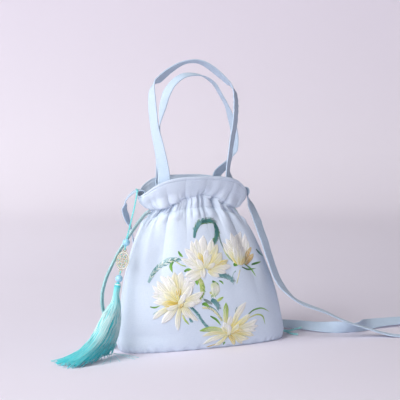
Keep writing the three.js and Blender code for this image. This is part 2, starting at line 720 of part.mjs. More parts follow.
function bead(distance) {
  const hole = BEAD_HOLE_DIAMETER / 2;
  const radius = BEAD_DIAMETER / 2;
  const rise = Math.acos(hole / radius);
  const arc = Array.from({ length: 8 }, (_, i) => {
    const turn = lerp(-rise, rise, i / 7);
    return new THREE.Vector2(radius * Math.cos(turn), radius * Math.sin(turn));
  });
  const profile = [...arc, arc[0].clone()];
  return new THREE.LatheGeometry(profile, 12).applyMatrix4(dropFrame(distance));
}

function ovalPath(x, y, halfWidth, halfLength, sides) {
  return Array.from({ length: sides }, (_, k) => {
    const turn = (2 * Math.PI * k) / sides;
    return new THREE.Vector2(x + halfWidth * Math.cos(turn), y + halfLength * Math.sin(turn));
  });
}
function plate(outline, holes = []) {
  const shape = new THREE.Shape(outline);
  shape.holes = holes.map((hole) => new THREE.Path(hole));
  const slab = new THREE.ExtrudeGeometry(shape, { depth: MEDALLION_THICKNESS, bevelEnabled: false });
  return slab.translate(0, 0, -MEDALLION_THICKNESS / 2);
}
function medallion() {
  const halfWidth = MEDALLION_WIDTH / 2;
  const halfLength = MEDALLION_LENGTH / 2;
  const openings = MEDALLION_RINGS.flatMap(({ count, radius, size, first }) =>
    Array.from({ length: count }, (_, k) => {
      const turn = rad(first + (360 * k) / count);
      const x = radius * Math.cos(turn) * halfWidth;
      const y = radius * Math.sin(turn) * halfLength;
      return ovalPath(x, y, size * halfWidth, size * halfLength, 8);
    }),
  );
  const body = solidOf(plate(ovalPath(0, 0, halfWidth, halfLength, 32), openings));
  const whole = [1, -1].reduce((sum, end) => {
    const y = end * EYELET_PLACE;
    const eyelet = solidOf(plate(ovalPath(0, y, EYELET_DIAMETER / 2, EYELET_DIAMETER / 2, 16)));
    const hole = ovalPath(0, y, EYELET_HOLE_DIAMETER / 2, EYELET_HOLE_DIAMETER / 2, 12);
    const cut = solidOf(plate(hole).scale(1, 1, 2));
    return sum.add(eyelet).subtract(cut);
  }, body);
  return geometryFrom(whole).applyMatrix4(dropFrame(0));
}

// The small loop of thread through an eyelet: it stands across the medallion's plane.
function threadRing(distance) {
  const radius = THREAD_RING_DIAMETER / 2;
  const points = Array.from({ length: 8 }, (_, k) => {
    const turn = (Math.PI * k) / 4;
    return new THREE.Vector3(0, radius * Math.cos(turn), radius * Math.sin(turn));
  });
  return solidOf(tube(points, THREAD_DIAMETER, 10, THREAD_SIDES, true).applyMatrix4(dropFrame(distance)));
}
// The thread's loop lies round the shoulder strap's own section, with a little room.
function hangingThread() {
  const place = vector(THREAD_LOOP_PLACE);
  const away = (station) => station.point.distanceTo(place);
  const nearest = shoulderStations().reduce((best, station) => (away(station) < away(best) ? station : best));
  const { point, across, face } = nearest;
  const wide = (STRAP_WIDTH + THREAD_DIAMETER) / 2 + DROP_GAP;
  const thick = (STRAP_THICKNESS + THREAD_DIAMETER) / 2 + 2 * DROP_GAP;
  const squared = (value) => Math.sign(value) * Math.abs(value) ** LOOP_SQUARENESS;
  const onLoop = (turn) =>
    point
      .clone()
      .addScaledVector(across, wide * squared(Math.cos(turn)))
      .addScaledVector(face, thick * squared(Math.sin(turn)));
  const loopPoints = Array.from({ length: 12 }, (_, k) => onLoop((Math.PI * k) / 6));
  const loop = solidOf(tube(loopPoints, THREAD_DIAMETER, 20, THREAD_SIDES, true));
  const ringTop = dropPoint(RING_PLACE + THREAD_RING_DIAMETER / 2);
  const loopFront = onLoop(across.y < 0 ? 0 : Math.PI);
  const stem = [ringTop, dropPoint(BEAD_PLACE + BEAD_DIAMETER / 2), ...THREAD_ROUTE.map(vector), loopFront];
  const line = solidOf(tube(stem, THREAD_DIAMETER, 14, THREAD_SIDES));
  return geometryFrom(threadRing(RING_PLACE).add(line).add(loop));
}

// The tassel: its loop and thread, a bound head and a skirt of locks that spread over the floor.
function tassel() {
  const half = TASSEL_HEAD_DIAMETER / 2;
  const headProfile = [
    [0, -TASSEL_HEAD_LENGTH],
    [0.86 * half, -TASSEL_HEAD_LENGTH],
    [0.72 * half, -0.82 * TASSEL_HEAD_LENGTH],
    [0.7 * half, -0.3 * TASSEL_HEAD_LENGTH],
    [half, -0.26 * TASSEL_HEAD_LENGTH],
    [half, -0.12 * TASSEL_HEAD_LENGTH],
    [0.66 * half, -0.08 * TASSEL_HEAD_LENGTH],
    [0.4 * half, 0],
    [0, 0],
  ].map(([r, y]) => new THREE.Vector2(r, y));
  const head = solidOf(new THREE.LatheGeometry(headProfile, 14).applyMatrix4(dropFrame(HEAD_PLACE)));
  const stem = [dropPoint(-RING_PLACE - THREAD_RING_DIAMETER / 2), dropPoint(HEAD_PLACE - 1)];
  const line = solidOf(tube(stem, THREAD_DIAMETER, 3, THREAD_SIDES));
  const lockPlaces = Array.from({ length: TASSEL_LOCKS }, (_, k) => (2 * k) / (TASSEL_LOCKS - 1) - 1);
  const pieces = [threadRing(-RING_PLACE), line, ...lockPlaces.map((place) => solidOf(lock(place)))];
  return geometryFrom(pieces.reduce((whole, piece) => whole.add(piece), head));
}
// One lock at its place u across the fan, from -1 at the left edge to 1 at the right.
function lock(u) {
  const guide = (place, v) => {
    const { left, middle, right } = TASSEL_GUIDES[place];
    return vector(left)
      .multiplyScalar((v * (v - 1)) / 2)
      .addScaledVector(vector(middle), 1 - v * v)
      .addScaledVector(vector(right), (v * (v + 1)) / 2);
  };
  const last = TASSEL_GUIDES.length - 1;
  const head = dropPoint(HEAD_PLACE - 0.8 * TASSEL_HEAD_LENGTH);
  const middles = [head, ...TASSEL_GUIDES.map((_, place) => guide(place, u))];
  const rings = middles.map((middle, i) => {
    const place = Math.max(i - 1, 0);
    const step = guide(place, u + 0.12).sub(guide(place, u - 0.12)).multiplyScalar(1 / 0.24);
    const ahead = headingAt(middles, i);
    const side = step.clone().addScaledVector(ahead, -step.dot(ahead));
    const spacing = (2 * side.length()) / (TASSEL_LOCKS - 1);
    const taper = i > last ? LOCK_TIP_SHARE : 1;
    const halfWidth = Math.max(LOCK_FILL * spacing, LOCK_LEAST_HALF_WIDTH) * (i === last ? 0.8 : 1) * taper;
    const halfDepth = (LOCK_DEPTH / 2) * (i === 0 ? 0.6 : 1) * (i === last ? 0.7 : 1) * taper;
    side.normalize();
    const face = ahead.clone().cross(side);
    return Array.from({ length: LOCK_SIDES }, (_, n) => {
      const turn = (2 * Math.PI * n) / LOCK_SIDES;
      const corner = middle
        .clone()
        .addScaledVector(side, halfWidth * Math.cos(turn))
        .addScaledVector(face, halfDepth * Math.sin(turn));
      corner.z = Math.max(corner.z, FLOOR_GAP + 0.2 * (1 + Math.sin(turn)));
      return corner;
    });
  });
  return loft(rings);
}

// Materials
const material = (color, roughness, metalness = 0) =>
  new THREE.MeshStandardMaterial({ color, roughness, metalness });
const CLOTH_MATERIAL = material(LINEN_BLUE, 0.8);
const STRAP_MATERIAL = material(STRAP_BLUE, 0.85);
const CORD_MATERIAL = material(CORD_GREEN, 0.5);
const THREAD_MATERIAL = material(THREAD_TEAL, 0.55);
const BEAD_MATERIAL = material(BEAD_BLUE, 0.15);
const GILT_MATERIAL = material(GILT, 0.35, 0.9);
const TASSEL_MATERIAL = material(TASSEL_TEAL, 0.45);

const purse = new THREE.Group();
function add(name, geometry, finish) {
  const mesh = new THREE.Mesh(geometry, finish);
  mesh.name = name;
  purse.add(mesh);
  return mesh;
}

add("pouch_wall", pouchWall(), CLOTH_MATERIAL);
add("base_panel", basePanel(), CLOTH_MATERIAL);
add("handle_front", handle(FRONT_HANDLE, FRONT_HANDLE_SPREAD, FRONT_HANDLE_RISE), STRAP_MATERIAL);
add("handle_back", handle(BACK_HANDLE, BACK_HANDLE_SPREAD, BACK_HANDLE_RISE), STRAP_MATERIAL);
add("shoulder_strap", ribbon(shoulderStations()), STRAP_MATERIAL);
add("drawstring_left_front", drawstring(LEFT_EXIT, 0, leftRoute, LEFT_KNOT, LEFT_BESIDE), CORD_MATERIAL);
add("drawstring_left_back", drawstring(LEFT_EXIT, 1, leftRoute, LEFT_KNOT, LEFT_BESIDE), CORD_MATERIAL);
add("drawstring_left_knot", knotWithTips(LEFT_KNOT, LEFT_TIPS), CORD_MATERIAL);
add("drawstring_right_front", drawstring(RIGHT_EXIT, 0, rightRoute, RIGHT_KNOT, RIGHT_BESIDE), CORD_MATERIAL);
add("drawstring_right_back", drawstring(RIGHT_EXIT, 1, rightRoute, RIGHT_KNOT, RIGHT_BESIDE), CORD_MATERIAL);
add("drawstring_right_knot", knotWithTips(RIGHT_KNOT, RIGHT_TIPS), CORD_MATERIAL);
add("pendant_thread", hangingThread(), THREAD_MATERIAL);
add("bead_upper", bead(BEAD_PLACE), BEAD_MATERIAL);
add("medallion", medallion(), GILT_MATERIAL);
add("bead_lower", bead(-BEAD_PLACE), BEAD_MATERIAL);
add("tassel", tassel(), TASSEL_MATERIAL);

export default purse;
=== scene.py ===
"""The looks of a pale blue embroidered drawstring purse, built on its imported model.

Lengths are in millimetres until a mesh is made, and MM turns them into metres. The front faces -Y. A place
on the pouch is an angle from the front's middle in degrees and a level: 0 at the base, 1 at the neck and 2 at
the rim.
"""
import json
import math

import bpy
import numpy as np
from mathutils import Matrix, Vector

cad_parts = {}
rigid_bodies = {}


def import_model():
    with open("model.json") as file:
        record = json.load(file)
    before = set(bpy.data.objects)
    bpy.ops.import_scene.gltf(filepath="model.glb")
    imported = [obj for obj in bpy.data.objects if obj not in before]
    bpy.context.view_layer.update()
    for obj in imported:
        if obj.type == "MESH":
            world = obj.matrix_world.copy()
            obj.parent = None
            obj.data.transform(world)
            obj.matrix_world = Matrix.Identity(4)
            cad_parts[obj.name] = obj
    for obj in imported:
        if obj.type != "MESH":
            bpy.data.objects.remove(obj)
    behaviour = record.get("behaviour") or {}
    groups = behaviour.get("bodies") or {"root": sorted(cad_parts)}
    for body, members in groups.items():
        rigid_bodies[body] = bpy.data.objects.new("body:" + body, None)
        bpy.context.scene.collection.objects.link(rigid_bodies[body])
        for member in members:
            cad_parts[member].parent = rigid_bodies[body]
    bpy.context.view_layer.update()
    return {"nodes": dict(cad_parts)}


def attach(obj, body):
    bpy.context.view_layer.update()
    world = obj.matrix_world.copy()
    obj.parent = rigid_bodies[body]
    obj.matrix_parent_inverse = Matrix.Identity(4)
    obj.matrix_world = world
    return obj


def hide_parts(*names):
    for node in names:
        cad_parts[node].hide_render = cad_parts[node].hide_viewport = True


for leftover in list(bpy.data.objects):
    bpy.data.objects.remove(leftover)
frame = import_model()
MM = 0.001

# The pouch's sizes
CLOTH = 2.0
BASE_WIDTH = 223.0
BASE_DEPTH = 62.0
NECK_WIDTH = 109.0
NECK_DEPTH = 42.0
NECK_HEIGHT = 178.0
NECK_DROOP = 12.0
RIM_WIDTH = 143.0
RIM_DEPTH = 62.0
RIM_HEIGHT = 208.0
RIM_DROOP = 23.0
LEAN_LEFT = 9.0
LEAN_BACK = 9.0
PLEAT_DEPTH = 5.0
DENT_DEPTH = 4.0

# The straps' and cords' sizes
STRAP_WIDTH = 15.0
STRAP_THICKNESS = 1.6
STRAP_GAP = 0.4
FRONT_HANDLE_SPREAD = 86.0
FRONT_HANDLE_RISE = 138.0
BACK_HANDLE_SPREAD = 80.0
BACK_HANDLE_RISE = 126.0
CORD_DIAMETER = 2.6
CORD_GAP = 0.5
KNOT_DIAMETER = 7.5
FLOOR_GAP = 0.1

# The hanging drop's sizes
THREAD_DIAMETER = 1.3
THREAD_RING_DIAMETER = 3.6
BEAD_DIAMETER = 9.0
BEAD_HOLE_DIAMETER = 2.2
MEDALLION_WIDTH = 15.0
MEDALLION_LENGTH = 22.5
MEDALLION_THICKNESS = 1.6
EYELET_DIAMETER = 4.6
EYELET_HOLE_DIAMETER = 2.6
TASSEL_HEAD_DIAMETER = 7.4
DROP_GAP = 0.4

# The wall's sections: level, width, depth and the exponent of the section's outline
WALL_SECTIONS = np.array([
    (0.0, 0.93, 0.72, 2.5), (0.03, 0.975, 0.93, 2.5), (0.08, 1.0, 1.08, 2.45), (0.17, 0.96, 1.2, 2.35),
    (0.32, 0.89, 1.3, 2.25), (0.46, 0.8, 1.28, 2.15), (0.6, 0.67, 1.12, 2.1), (0.72, 0.54, 0.88, 2.05),
    (0.83, 0.4, 0.56, 2.0), (0.91, 0.26, 0.3, 2.0), (0.96, 0.12, 0.1, 2.0), (1.0, 0.0, 0.0, 2.0),
    (1.14, 0.3, 0.1, 2.0), (1.34, 0.7, 0.32, 2.05), (1.6, 0.96, 0.62, 2.1), (1.82, 1.03, 0.86, 2.1),
    (2.0, 1.0, 1.0, 2.1),
])
# The gathered neck's creases: angle, depth, and the reach down and up in levels
CREASES = np.array([
    (-90, 0.7, 0.12, 0.5), (-61, 0.9, 0.2, 0.45), (-38, 1.2, 0.42, 0.6), (-17, 1.15, 0.26, 0.9),
    (4, 1.25, 0.2, 1.0), (20, 1.05, 0.24, 0.7), (37, 1.35, 0.5, 0.8), (61, 0.8, 0.16, 0.45),
    (90, 0.6, 0.12, 0.5), (116, 1.0, 0.3, 0.7), (138, 1.2, 0.24, 0.8), (159, 1.0, 0.36, 0.6),
    (180, 1.25, 0.22, 0.9), (202, 1.05, 0.4, 0.6), (224, 1.2, 0.26, 0.8), (246, 0.95, 0.2, 0.6),
])
# Soft dents: angle, level, half width in degrees, half height in levels, depth
DENTS = (
    (-40, 0.66, 9, 0.2, 1.1), (38, 0.7, 9, 0.2, 1.0), (-52, 0.12, 26, 0.05, 0.6), (0, 0.4, 40, 0.25, -0.6),
    (60, 0.36, 14, 0.3, 0.5), (180, 0.45, 45, 0.28, -0.7), (205, 0.72, 10, 0.2, 0.9),
    (150, 0.68, 10, 0.2, 0.8),
)

# The handles' arches: share of half the spread, share of the rise, and the strap's turn in degrees
FRONT_ARCH = (
    (-0.97, 0.04, -42), (-1.02, 0.14, -52), (-1.11, 0.28, -61), (-1.22, 0.43, -74), (-1.27, 0.57, -73),
    (-1.29, 0.68, -78), (-1.28, 0.755, -92), (-1.2, 0.818, -116), (-1.04, 0.848, -132), (-0.84, 0.897, -130),
    (-0.5, 0.962, -117), (-0.13, 1.001, -101), (0.21, 0.996, -98), (0.52, 0.95, -98), (0.8, 0.886, -96),
    (1.06, 0.818, -88), (1.21, 0.768, -62), (1.28, 0.7, -45), (1.29, 0.6, -43), (1.25, 0.46, -43),
    (1.16, 0.326, -44), (1.08, 0.18, -47), (1.01, 0.04, -48),
)
BACK_ARCH = (
    (-0.96, 0.0, -168), (-0.99, 0.132, -152), (-1.04, 0.278, -140), (-1.05, 0.405, -128), (-0.99, 0.55, -102),
    (-0.91, 0.675, -78), (-0.79, 0.8, -72), (-0.59, 0.895, -76), (-0.27, 0.968, -74), (0.09, 0.987, -76),
    (0.44, 0.97, -82), (0.79, 0.902, -82), (1.03, 0.794, -80), (1.25, 0.684, -80), (1.39, 0.574, -92),
    (1.5, 0.463, -97), (1.55, 0.351, -98), (1.54, 0.24, -92), (1.45, 0.168, -64), (1.28, 0.1, -38),
    (0.94, 0.0, -24),
)
SEAT_LOW_LEVEL = 1.35
SEAT_HIGH_LEVEL = 1.75
SHOULDER_SEAM_LEVELS = (1.4, 1.65, 1.9)
# The shoulder strap's route: x, y, z and its roll in degrees
SHOULDER_ROUTE = (
    (-73.2, 9.8, 188.6, 90), (-76, 10, 191.8, 90), (-80, 10.4, 192.2, 90), (-84.5, 11.8, 190.6, 88),
    (-88.6, 13.2, 187.8, 86), (-92, 15, 184, 80), (-94.4, 17, 179.5, 68), (-95.4, 19, 173.5, 34),
    (-94.2, 21.5, 167.5, 4), (-91, 25, 160.8, -12), (-86, 29, 153.7, -18), (-80.6, 35, 144.5, -17),
    (-75.4, 43, 130, -14), (-70, 50, 111, -10), (-64, 56, 90, -8), (-56, 60, 66, -10), (-46, 62, 42, -16),
    (-32, 63, 24, -28), (-12, 64, 12, -42), (14, 65, 8, -52), (46, 66, 7, -58), (82, 65, 7, -60),
    (112, 59, 7, -60), (134, 48, 7, -60), (148, 36, 7, -58), (158, 22, 7, -56), (168, 7, 7, -48),
    (180, -4, 7, -30), (192, -13.5, 7, 4), (203, -19, 7, 34), (215, -18.5, 7, 22), (229, -12, 7, -18),
    (247, -5, 7, -46), (268, -3, 7, -58), (294, -3.5, 7, -60), (330, -3, 7, -48), (368, -3, 7, -28),
    (402, -9, 7, -10), (425, -25, 7, 0), (433, -49, 7, 4), (425, -74, 7, 12), (405, -94, 7, 26),
    (376, -105, 6, 46), (344, -106, 3, 66), (312, -99, 1.5, 80), (282, -86, 1, 88), (262, -74, 1, 90),
    (247, -65, 1.2, 90), (236.7, -60, 2.5, 90), (228.4, -56, 4.6, 90), (220, -52.5, 7.2, 90),
    (211.3, -49, 10.2, 90), (202.5, -46, 13.2, 90), (193.1, -43.5, 16.3, 88), (174.8, -39, 23.8, 86),
    (156.6, -34, 33.2, 84), (137.9, -30, 40.6, 80), (119.5, -26.5, 48.9, 78), (106.2, -23.5, 60.4, 72),
    (98.9, -20.5, 69.8, 66), (94.1, -18, 78.7, 64), (90, -15.5, 90.9, 67), (86.6, -13, 103.4, 73),
    (83.9, -10.5, 113.7, 76), (81.8, -8, 124.1, 80), (79.2, -4.5, 134.3, 83), (76.9, -1, 145, 86),
    (74.8, 2.8, 154.5, 86), (72.2, 6.2, 163.6, 82), (69.5, 9, 171.5, 80), (66.9, 10.4, 180, 84),
    (65.6, 10.6, 187, 89), (62.2, 10.3, 191.8, 90), (58, 10, 192, 90), (55.2, 9.8, 188.6, 90),
)
# The drawstrings' routes and knots
LEFT_CORD_ROUTE = (
    (-74, 4.5, 163.4), (-83, 0.5, 156), (-92.8, -2.5, 145.6), (-102.4, -4, 133.5), (-112, -4.5, 120),
    (-120.6, -4.5, 105), (-127.4, -3.5, 90), (-131.6, -2.5, 74), (-131, 0, 58), (-126, 4.5, 42),
    (-119, 10, 26), (-114, 16, 13),
)
LEFT_KNOT = (-111.5, 21, 4.6)
LEFT_TIPS = (((-106, 27.5, 2.2), (-101, 35, 1.6)), ((-114.5, 28, 2.2), (-117, 36, 1.6)))
# A row is angle, level and how far clear of the wall
RIGHT_CORD_ROUTE = (
    (106, 0.955, 5.5), (109, 0.89, 4.6), (111, 0.8, 3.4), (111, 0.69, 2.8), (110, 0.57, 2.6),
    (108, 0.45, 2.6), (106, 0.33, 2.6), (104, 0.22, 2.6), (104, 0.12, 3.2),
)
RIGHT_KNOT = (120.5, 19, 4.6)
RIGHT_TIPS = (
    ((129, 14.5, 3.4), (138, 13, 4.8), (146.5, 12, 6.4)),
    ((127, 10, 2.2), (129, 4, 1.6), (132, -3, 1.6)),
)
# The hanging drop's place and the thread's route
DROP_MIDDLE = (-111.4, -16.2, 112)
DROP_DOWN = (-0.268, -0.146, -0.951)
DROP_FACING = -25
THREAD_ROUTE = ((-103.4, -11.4, 139.5), (-97, -6.5, 156), (-90, -1, 174))
THREAD_LOOP_PLACE = (-82.5, 11.2, 191.2)
# The tassel's skirt: left, middle and right of the fan, from its head to its tips
TASSEL_GUIDES = np.array([
    [(-121.5, -22.5, 71), (-120.6, -23.6, 70.6), (-119.4, -22.5, 70.4)],
    [(-130.2, -24, 62.1), (-125.3, -26.5, 60.9), (-117.8, -23, 58.5)],
    [(-138.5, -26, 53.6), (-130.6, -31, 49.1), (-116.9, -22, 45.3)],
    [(-147.2, -28, 39.4), (-138, -36, 36.6), (-117.8, -20, 33.2)],
    [(-156.9, -31, 25.7), (-148.1, -42, 24.7), (-119.6, -18.5, 22.1)],
    [(-170.6, -34, 14.8), (-160.5, -48, 15.4), (-122, -16.5, 14.2)],
    [(-186, -30, 6.8), (-173.8, -54, 7.6), (-124, -15, 7.3)],
    [(-200.1, -20.2, 1.5), (-185.3, -60, 1.5), (-126, -15, 1.5)],
])


# Shared helpers
def lerp(a, b, t):
    return a + (b - a) * t


def unit(v):
    return v / np.linalg.norm(v, axis=-1, keepdims=True)


def hump(distance, reach):
    return np.exp(-((distance / reach) ** 2))


def full_turn(count):
    return np.linspace(0, 2 * np.pi, count, endpoint=False)


def swept(angles, first, second):
    """Directions turned by each angle from the first one towards the second one."""
    return np.cos(angles)[:, None] * first + np.sin(angles)[:, None] * second


def run_along(points):
    """How far each point lies along its path."""
    return np.concatenate([[0], np.cumsum(np.linalg.norm(np.diff(points, axis=0), axis=1))])


def looked_up(at, places, rows):
    """Rows read between their places."""
    return np.stack([np.interp(at, places, column) for column in np.transpose(rows)], -1)


def ended(rows):
    """The rows with the first and the last one doubled."""
    return np.concatenate([rows[:1], rows, rows[-1:]])


def thread_run(across, along):
    """Each point's place across and along its threads, for a grid of points."""
    return np.stack(np.meshgrid(across, along), -1)


def linear(code):
    """A six-digit colour code as linear red, green and blue."""
    srgb = np.array([int(code[i:i + 2], 16) for i in (0, 2, 4)]) / 255
    return np.where(srgb <= 0.04045, srgb / 12.92, ((srgb + 0.055) / 1.055) ** 2.4)


def table_curve(x, y):
    """A smooth curve through a table's rows that never overshoots them."""
    h = np.diff(x)
    rise = np.diff(y) / h
    product = rise[:-1] * rise[1:]
    total = np.where(product > 0, rise[:-1] + rise[1:], 1)
    slope = np.concatenate([[0], np.where(product > 0, 2 * product / total, 0), [0]])

    def curve(at):
        at = np.asarray(at, float)
        i = np.clip(np.searchsorted(x, at, side="left") - 1, 0, len(h) - 1)
        t = np.clip((at - x[i]) / h[i], 0, 1)
        return (
            y[i] * (2 * t**3 - 3 * t**2 + 1)
            + y[i + 1] * (3 * t**2 - 2 * t**3)
            + slope[i] * h[i] * (t**3 - 2 * t**2 + t)
            + slope[i + 1] * h[i] * (t**3 - t**2)
        )

    return curve


def smooth_points(points, places, closed=False):
    """Points of the smooth curve through the given points, at places counted in points."""
    points = np.asarray(points, float)
    n = len(points)
    if closed:
        around = lambda i: points[np.mod(i, n)]
    else:
        padded = np.vstack([2 * points[0] - points[1], points, 2 * points[-1] - points[-2]])
        around = lambda i: padded[i + 1]
    places = np.asarray(places, float)
    k = np.floor(places).astype(int) if closed else np.clip(np.floor(places).astype(int), 0, n - 2)
    t = (places - k)[:, None]
    p0, p1, p2, p3 = around(k - 1), around(k), around(k + 1), around(k + 2)
    gap = lambda a, b: np.maximum(np.linalg.norm(b - a, axis=1) ** 0.5, 1e-6)[:, None]
    d0, d1, d2 = gap(p0, p1), gap(p1, p2), gap(p2, p3)
    m1 = ((p1 - p0) / d0 - (p2 - p0) / (d0 + d1) + (p2 - p1) / d1) * d1
    m2 = ((p2 - p1) / d1 - (p3 - p1) / (d1 + d2) + (p3 - p2) / d2) * d1
    return (
        p1 + m1 * t + (-3 * p1 + 3 * p2 - 2 * m1 - m2) * t**2 + (2 * p1 - 2 * p2 + m1 + m2) * t**3
    )


def even_points(points, step, closed=False):
    """The smooth curve through the points, with evenly spaced points about a step apart."""
    spans = len(points) if closed else len(points) - 1
    dense = smooth_points(points, np.linspace(0, spans, spans * 24 + 1), closed)
    run = run_along(dense)
    count = max(int(round(run[-1] / step)), 2)
    return looked_up(np.linspace(0, run[-1], count + 1), run, dense)


def headings(points, closed=False):
    if closed:
        return unit(np.roll(points, -1, 0) - np.roll(points, 1, 0))
    return unit(np.gradient(points, axis=0))


def carried_frames(points, closed=False):
    """Two directions across a path at each point, carried along it without twist."""
    ahead = headings(points, closed)
    side = [unit(np.cross(ahead[0], (0, 0, 1) if abs(ahead[0][2]) < 0.9 else (1, 0, 0)))]
    for direction in ahead[1:]:
        side.append(unit(side[-1] - direction * (side[-1] @ direction)))
    side = np.array(side)
    return side, np.cross(ahead, side)


def added(name, data):
    """A new object in the scene."""
    made = bpy.data.objects.new(name, data)
    bpy.context.scene.collection.objects.link(made)
    return made


class Build:
    """Collects grids of points in millimetres into one mesh, with each point's thread run and tint."""

    def __init__(self):
        self.points, self.faces, self.runs, self.tints, self.count = [], [], [], [], 0

    def grid(self, points, run=0.0, tint=1.0, wrap_rows=False, wrap_columns=False, flip=False):
        rows, columns = points.shape[:2]
        index = np.arange(rows * columns).reshape(rows, columns) + self.count
        if wrap_rows:
            index = np.vstack([index, index[:1]])
        if wrap_columns:
            index = np.hstack([index, index[:, :1]])
        quads = [index[:-1, :-1], index[:-1, 1:], index[1:, 1:], index[1:, :-1]]
        if flip:
            quads.reverse()
        self.faces.append(np.stack(quads, -1).reshape(-1, 4))
        self.points.append(points.reshape(-1, 3))
        self.runs.append(np.broadcast_to(run, (rows, columns, 2)).reshape(-1, 2))
        self.tints.append(np.broadcast_to(tint, (rows, columns, 3)).reshape(-1, 3))
        self.count += rows * columns

    def piece(self, name, material):
        mesh = bpy.data.meshes.new(name)
        faces = np.vstack(self.faces)
        corners = faces.ravel()
        mesh.vertices.add(self.count)
        mesh.vertices.foreach_set("co", (np.vstack(self.points) * MM).ravel())
        mesh.loops.add(faces.size)
        mesh.loops.foreach_set("vertex_index", corners)
        mesh.polygons.add(len(faces))
        mesh.polygons.foreach_set("loop_start", np.arange(len(faces)) * 4)
        mesh.polygons.foreach_set("loop_total", np.full(len(faces), 4))
        mesh.update(calc_edges=True)
        mesh.validate()
        layer = mesh.uv_layers.new(name="thread_run")
        layer.data.foreach_set("uv", (np.vstack(self.runs) * MM)[corners].ravel())
        colours = mesh.color_attributes.new(name="tint", type="FLOAT_COLOR", domain="POINT")
        tints = np.hstack([np.vstack(self.tints), np.ones((self.count, 1))])
        colours.data.foreach_set("color", tints.ravel())
        mesh.polygons.foreach_set("use_smooth", np.full(len(faces), True))
        mesh.materials.append(material)
        return added(name, mesh)


def tube(build, points, radius, sides, tint=1.0, closed=False):
    """Adds a round tube along points. Its ends are closed. radius and tint may have a row for each point."""
    points = np.asarray(points, float)
    angles = full_turn(sides)
    radius = np.broadcast_to(radius, len(points)).astype(float)
    side, up = carried_frames(points, closed)
    rings = swept(angles, side[:, None], up[:, None]) * radius[:, None, None]
    run = run_along(points)
    if not closed:
        rings = np.pad(rings, ((1, 1), (0, 0), (0, 0)))
        points, run = ended(points), ended(run)
        tint = ended(tint) if np.ndim(tint) == 2 else tint
    tint = tint[:, None] if np.ndim(tint) == 2 else tint
    build.grid(points[:, None] + rings, thread_run(angles * radius.mean(), run), tint, closed, True)


def twisted(build, points, diameter, strands, pitch, sides, tint):
    """Adds strands twisted round a path of evenly spaced points, so that they fill the diameter."""
    side, up = carried_frames(points)
    strand_radius = 1.12 * diameter / 2 / (1 + 1 / math.sin(math.pi / strands))
    helix_radius = diameter / 2 - strand_radius
    for k in range(strands):
        angles = 2 * np.pi * (run_along(points) / pitch + k / strands)
        tube(build, points + helix_radius * swept(angles, side, up), strand_radius, sides, tint)


# The cloth wall
width_at, depth_at, square_at = (table_curve(WALL_SECTIONS[:, 0], WALL_SECTIONS[:, i]) for i in (1, 2, 3))


def height_at(angle, level):
    side = np.abs(np.sin(np.radians(angle)))
    neck = NECK_HEIGHT - NECK_DROOP * side**2
    rim = RIM_HEIGHT - RIM_DROOP * side**3.5
    return np.where(level <= 1, neck * level, lerp(neck, rim, level - 1))


def pleat_at(angle, level):
    """How far the gathered neck's pleats pull the wall in between their crests."""
    along = (angle + 90) % 360 - 90
    i = np.clip(np.searchsorted(CREASES[:, 0], along, side="right") - 1, 0, len(CREASES) - 1)
    j = (i + 1) % len(CREASES)
    span = (CREASES[j, 0] - CREASES[i, 0] + 360) % 360
    t = np.clip((along - CREASES[i, 0]) / span, 0, 1)
    away = np.where(level <= 1, 1 - level, level - 1)

    def strength(k):
        share = away / np.where(level <= 1, CREASES[k, 2], CREASES[k, 3])
        return CREASES[k, 1] * np.exp(-share * share - 0.4 * share)

    bulge = np.sin(np.pi * t) ** 0.7
    return PLEAT_DEPTH * lerp(strength(i), strength(j), t) * (1 - bulge)


def turned_by(angle, middle):
    return (angle - middle + 180) % 360 - 180


def bumps(table, angle, height):
    """The sum of a table's soft bumps. A row is angle, height, reach in degrees, reach in height, depth."""
    return sum(depth * np.exp(-((turned_by(angle, middle) / wide) ** 2) - ((height - at) / tall) ** 2)
               for middle, at, wide, tall, depth in table)


def wall_point(angle, level, inset=0.0):
    """A point of the smooth wall, moved in by an inset."""
    angle, level, inset = np.broadcast_arrays(np.asarray(angle, float), np.asarray(level, float), inset)
    low = level <= 1
    half_width = lerp(NECK_WIDTH, np.where(low, BASE_WIDTH, RIM_WIDTH), width_at(level)) / 2
    half_depth = lerp(NECK_DEPTH, np.where(low, BASE_DEPTH, RIM_DEPTH), depth_at(level)) / 2
    square = square_at(level)
    s = np.sin(np.radians(angle))
    c = -np.cos(np.radians(angle))
    x = half_width * np.sign(s) * np.abs(s) ** (2 / square)
    y = half_depth * np.sign(c) * np.abs(c) ** (2 / square)
    out_x = np.sign(x) * np.abs(x / half_width) ** (square - 1) / half_width
    out_y = np.sign(y) * np.abs(y / half_depth) ** (square - 1) / half_depth
    size = np.hypot(out_x, out_y)
    inward = inset + pleat_at(angle, level) + DENT_DEPTH * bumps(DENTS, angle, level)
    lean = np.minimum(level, 1) ** 1.3
    return np.stack([
        x - out_x / size * inward - LEAN_LEFT * lean,
        y - out_y / size * inward + LEAN_BACK * lean,
        height_at(angle, level),
    ], -1)


def outward_at(angle, level):
    return unit(wall_point(angle, level) - wall_point(angle, level, 1.0))


# The folds that the drawn cloth has between its creases. A row is middle, depth, half width in degrees, and
# the reach down and up in levels.
fold_draws = np.random.RandomState(11)


def fold_table(count, depth, wide, down, up):
    middles = np.linspace(0, 360, count, endpoint=False) + fold_draws.uniform(-0.4, 0.4, count) * 360 / count
    return np.stack([middles, *(fold_draws.uniform(*span, count) for span in (depth, wide, down, up))], 1)


